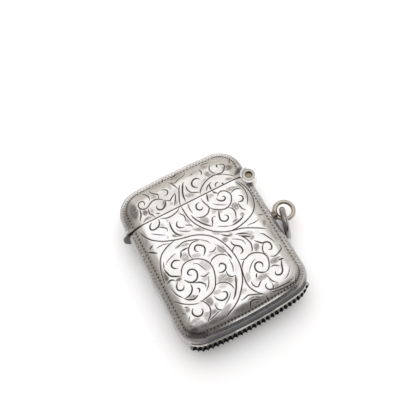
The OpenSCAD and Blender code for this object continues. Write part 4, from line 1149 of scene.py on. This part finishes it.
# Table, light and camera
# The case lies on a white table under a wide overhead diffuser, seen from the photograph's viewpoint.
TABLE_WHITE = (0.86, 0.86, 0.87, 1)
TABLE_ROUGHNESS = 0.8
TABLE_REACH = 16.0
TABLE_TOP_Z = -0.00002
NEAR_GLOW = (0.06, 0.06, 0.06, 1)
FAR_GLOW = (0.5, 0.5, 0.5, 1)
GLOW_REACH = (0.2, 1.2)
bpy.ops.mesh.primitive_plane_add(size=TABLE_REACH, location=(0, 0, TABLE_TOP_Z))
table_top = bpy.context.object
table_top.name = "table_top"
table_paint = bpy.data.materials.new("table_white")
table_paint.use_nodes = True
table_tree = table_paint.node_tree
table_shader = table_tree.nodes["Principled BSDF"]
table_shader.inputs["Base Color"].default_value = TABLE_WHITE
table_shader.inputs["Roughness"].default_value = TABLE_ROUGHNESS
table_shader.inputs["Emission Strength"].default_value = 1.0
rays = add_node(table_tree, "ShaderNodeLightPath")
seen_rays = reckoned(table_tree, "MAXIMUM", rays.outputs["Is Camera Ray"], rays.outputs["Is Glossy Ray"])
seen_rays = reckoned(table_tree, "MAXIMUM", seen_rays, rays.outputs["Is Transmission Ray"])
table_far = level_of(table_tree, distance_from(table_tree, 0.0, 0.0), *GLOW_REACH)
seen_glow = mixed_colour(table_tree, table_far, NEAR_GLOW, FAR_GLOW)
glow = mixed_colour(table_tree, seen_rays, (0, 0, 0, 1), seen_glow)
table_tree.links.new(glow, table_shader.inputs["Emission Color"])
coat(table_top, table_paint)

ROOM_LEFT = (0.2, 0.185, 0.17, 1)
ROOM_RIGHT = (0.62, 0.6, 0.57, 1)
ROOM_TURN = (-0.8, 0.8)
ROOM_FAR = (0.72, 0.69, 0.655, 1)
FAR_EDGE = (-0.1, 0.7)
CAMERA_SIDE = (0.155, -0.893, 0.423)
SHADE_EDGE = (0.87, 0.98)
CAMERA_SHADE = (0.055, 0.057, 0.068, 1)
HORIZON = (0.02, 0.12)
WALL_WHITE = (0.9, 0.9, 0.9, 1)
DIFFUSER_AXIS = (0.07, 0.17, 0.98)
DIFFUSER_EDGE = (0.85, 0.93)
DIFFUSER_LIGHT = (1.1, 1.1, 1.1, 1)
LAMP_SIZE = 0.9
LAMP_POWER = 3.0
LAMP_PLACE = (0.05, 0.16, 0.48)
studio = bpy.data.worlds.new("studio")
bpy.context.scene.world = studio
studio.use_nodes = True
sky = studio.node_tree
backdrop = sky.nodes["Background"]
direction = add_node(sky, "ShaderNodeTexCoord").outputs["Generated"]


def towards(axis, edge):
    """Soft mask of the directions that agree with an axis."""
    node = add_node(sky, "ShaderNodeVectorMath", operation="DOT_PRODUCT")
    sky.links.new(direction, node.inputs[0])
    node.inputs[1].default_value = Vector(axis).normalized()
    return level_of(sky, node.outputs["Value"], *edge)


room = mixed_colour(sky, towards((1, 0, 0), ROOM_TURN), ROOM_LEFT, ROOM_RIGHT)
room = mixed_colour(sky, towards((0, 1, 0), FAR_EDGE), room, ROOM_FAR)
room = mixed_colour(sky, towards(CAMERA_SIDE, SHADE_EDGE), room, CAMERA_SHADE)
room = mixed_colour(sky, towards((0, 0, 1), HORIZON), WALL_WHITE, room)
room = mixed_colour(sky, towards(DIFFUSER_AXIS, DIFFUSER_EDGE), room, DIFFUSER_LIGHT)
sky.links.new(room, backdrop.inputs["Color"])
backdrop.inputs["Strength"].default_value = 1.0

lamp = bpy.data.lights.new("diffuser", "AREA")
lamp.shape = "DISK"
lamp.size = LAMP_SIZE
lamp.energy = LAMP_POWER
diffuser = bpy.data.objects.new("diffuser", lamp)
diffuser.location = LAMP_PLACE
diffuser.rotation_euler = (-diffuser.location).to_track_quat("-Z", "Y").to_euler()
diffuser.visible_glossy = False
bpy.context.scene.collection.objects.link(diffuser)

VIEW_AZIMUTH = math.radians(-22.53)
VIEW_ELEVATION = math.radians(67.11)
VIEW_ROLL = math.radians(-5.79)
VIEW_DISTANCE = 149.81
VIEW_TARGET = Vector((5.193, 11.707, 0.0))
FOCAL_PIXELS = 534.85
IMAGE_PIXELS = 416
SENSOR = 36.0
NEAR_CLIP = 0.001
flat_back = math.cos(VIEW_ELEVATION)
back = Vector((math.sin(VIEW_AZIMUTH) * flat_back, -math.cos(VIEW_AZIMUTH) * flat_back,
               math.sin(VIEW_ELEVATION)))
right = Vector((math.cos(VIEW_AZIMUTH), math.sin(VIEW_AZIMUTH), 0.0))
above = back.cross(right)
tilted_right = math.cos(VIEW_ROLL) * right + math.sin(VIEW_ROLL) * above
tilted_above = -math.sin(VIEW_ROLL) * right + math.cos(VIEW_ROLL) * above
lens = bpy.data.cameras.new("view")
lens.sensor_width = SENSOR
lens.lens = FOCAL_PIXELS * SENSOR / IMAGE_PIXELS
lens.clip_start = NEAR_CLIP
camera = bpy.data.objects.new("view", lens)
camera.matrix_world = Matrix.Translation((VIEW_TARGET + VIEW_DISTANCE * back) * MM) @ Matrix(
    (tilted_right, tilted_above, back)).transposed().to_4x4()
bpy.context.scene.collection.objects.link(camera)
bpy.context.scene.camera = camera

bpy.context.scene.view_settings.view_transform = "Standard"
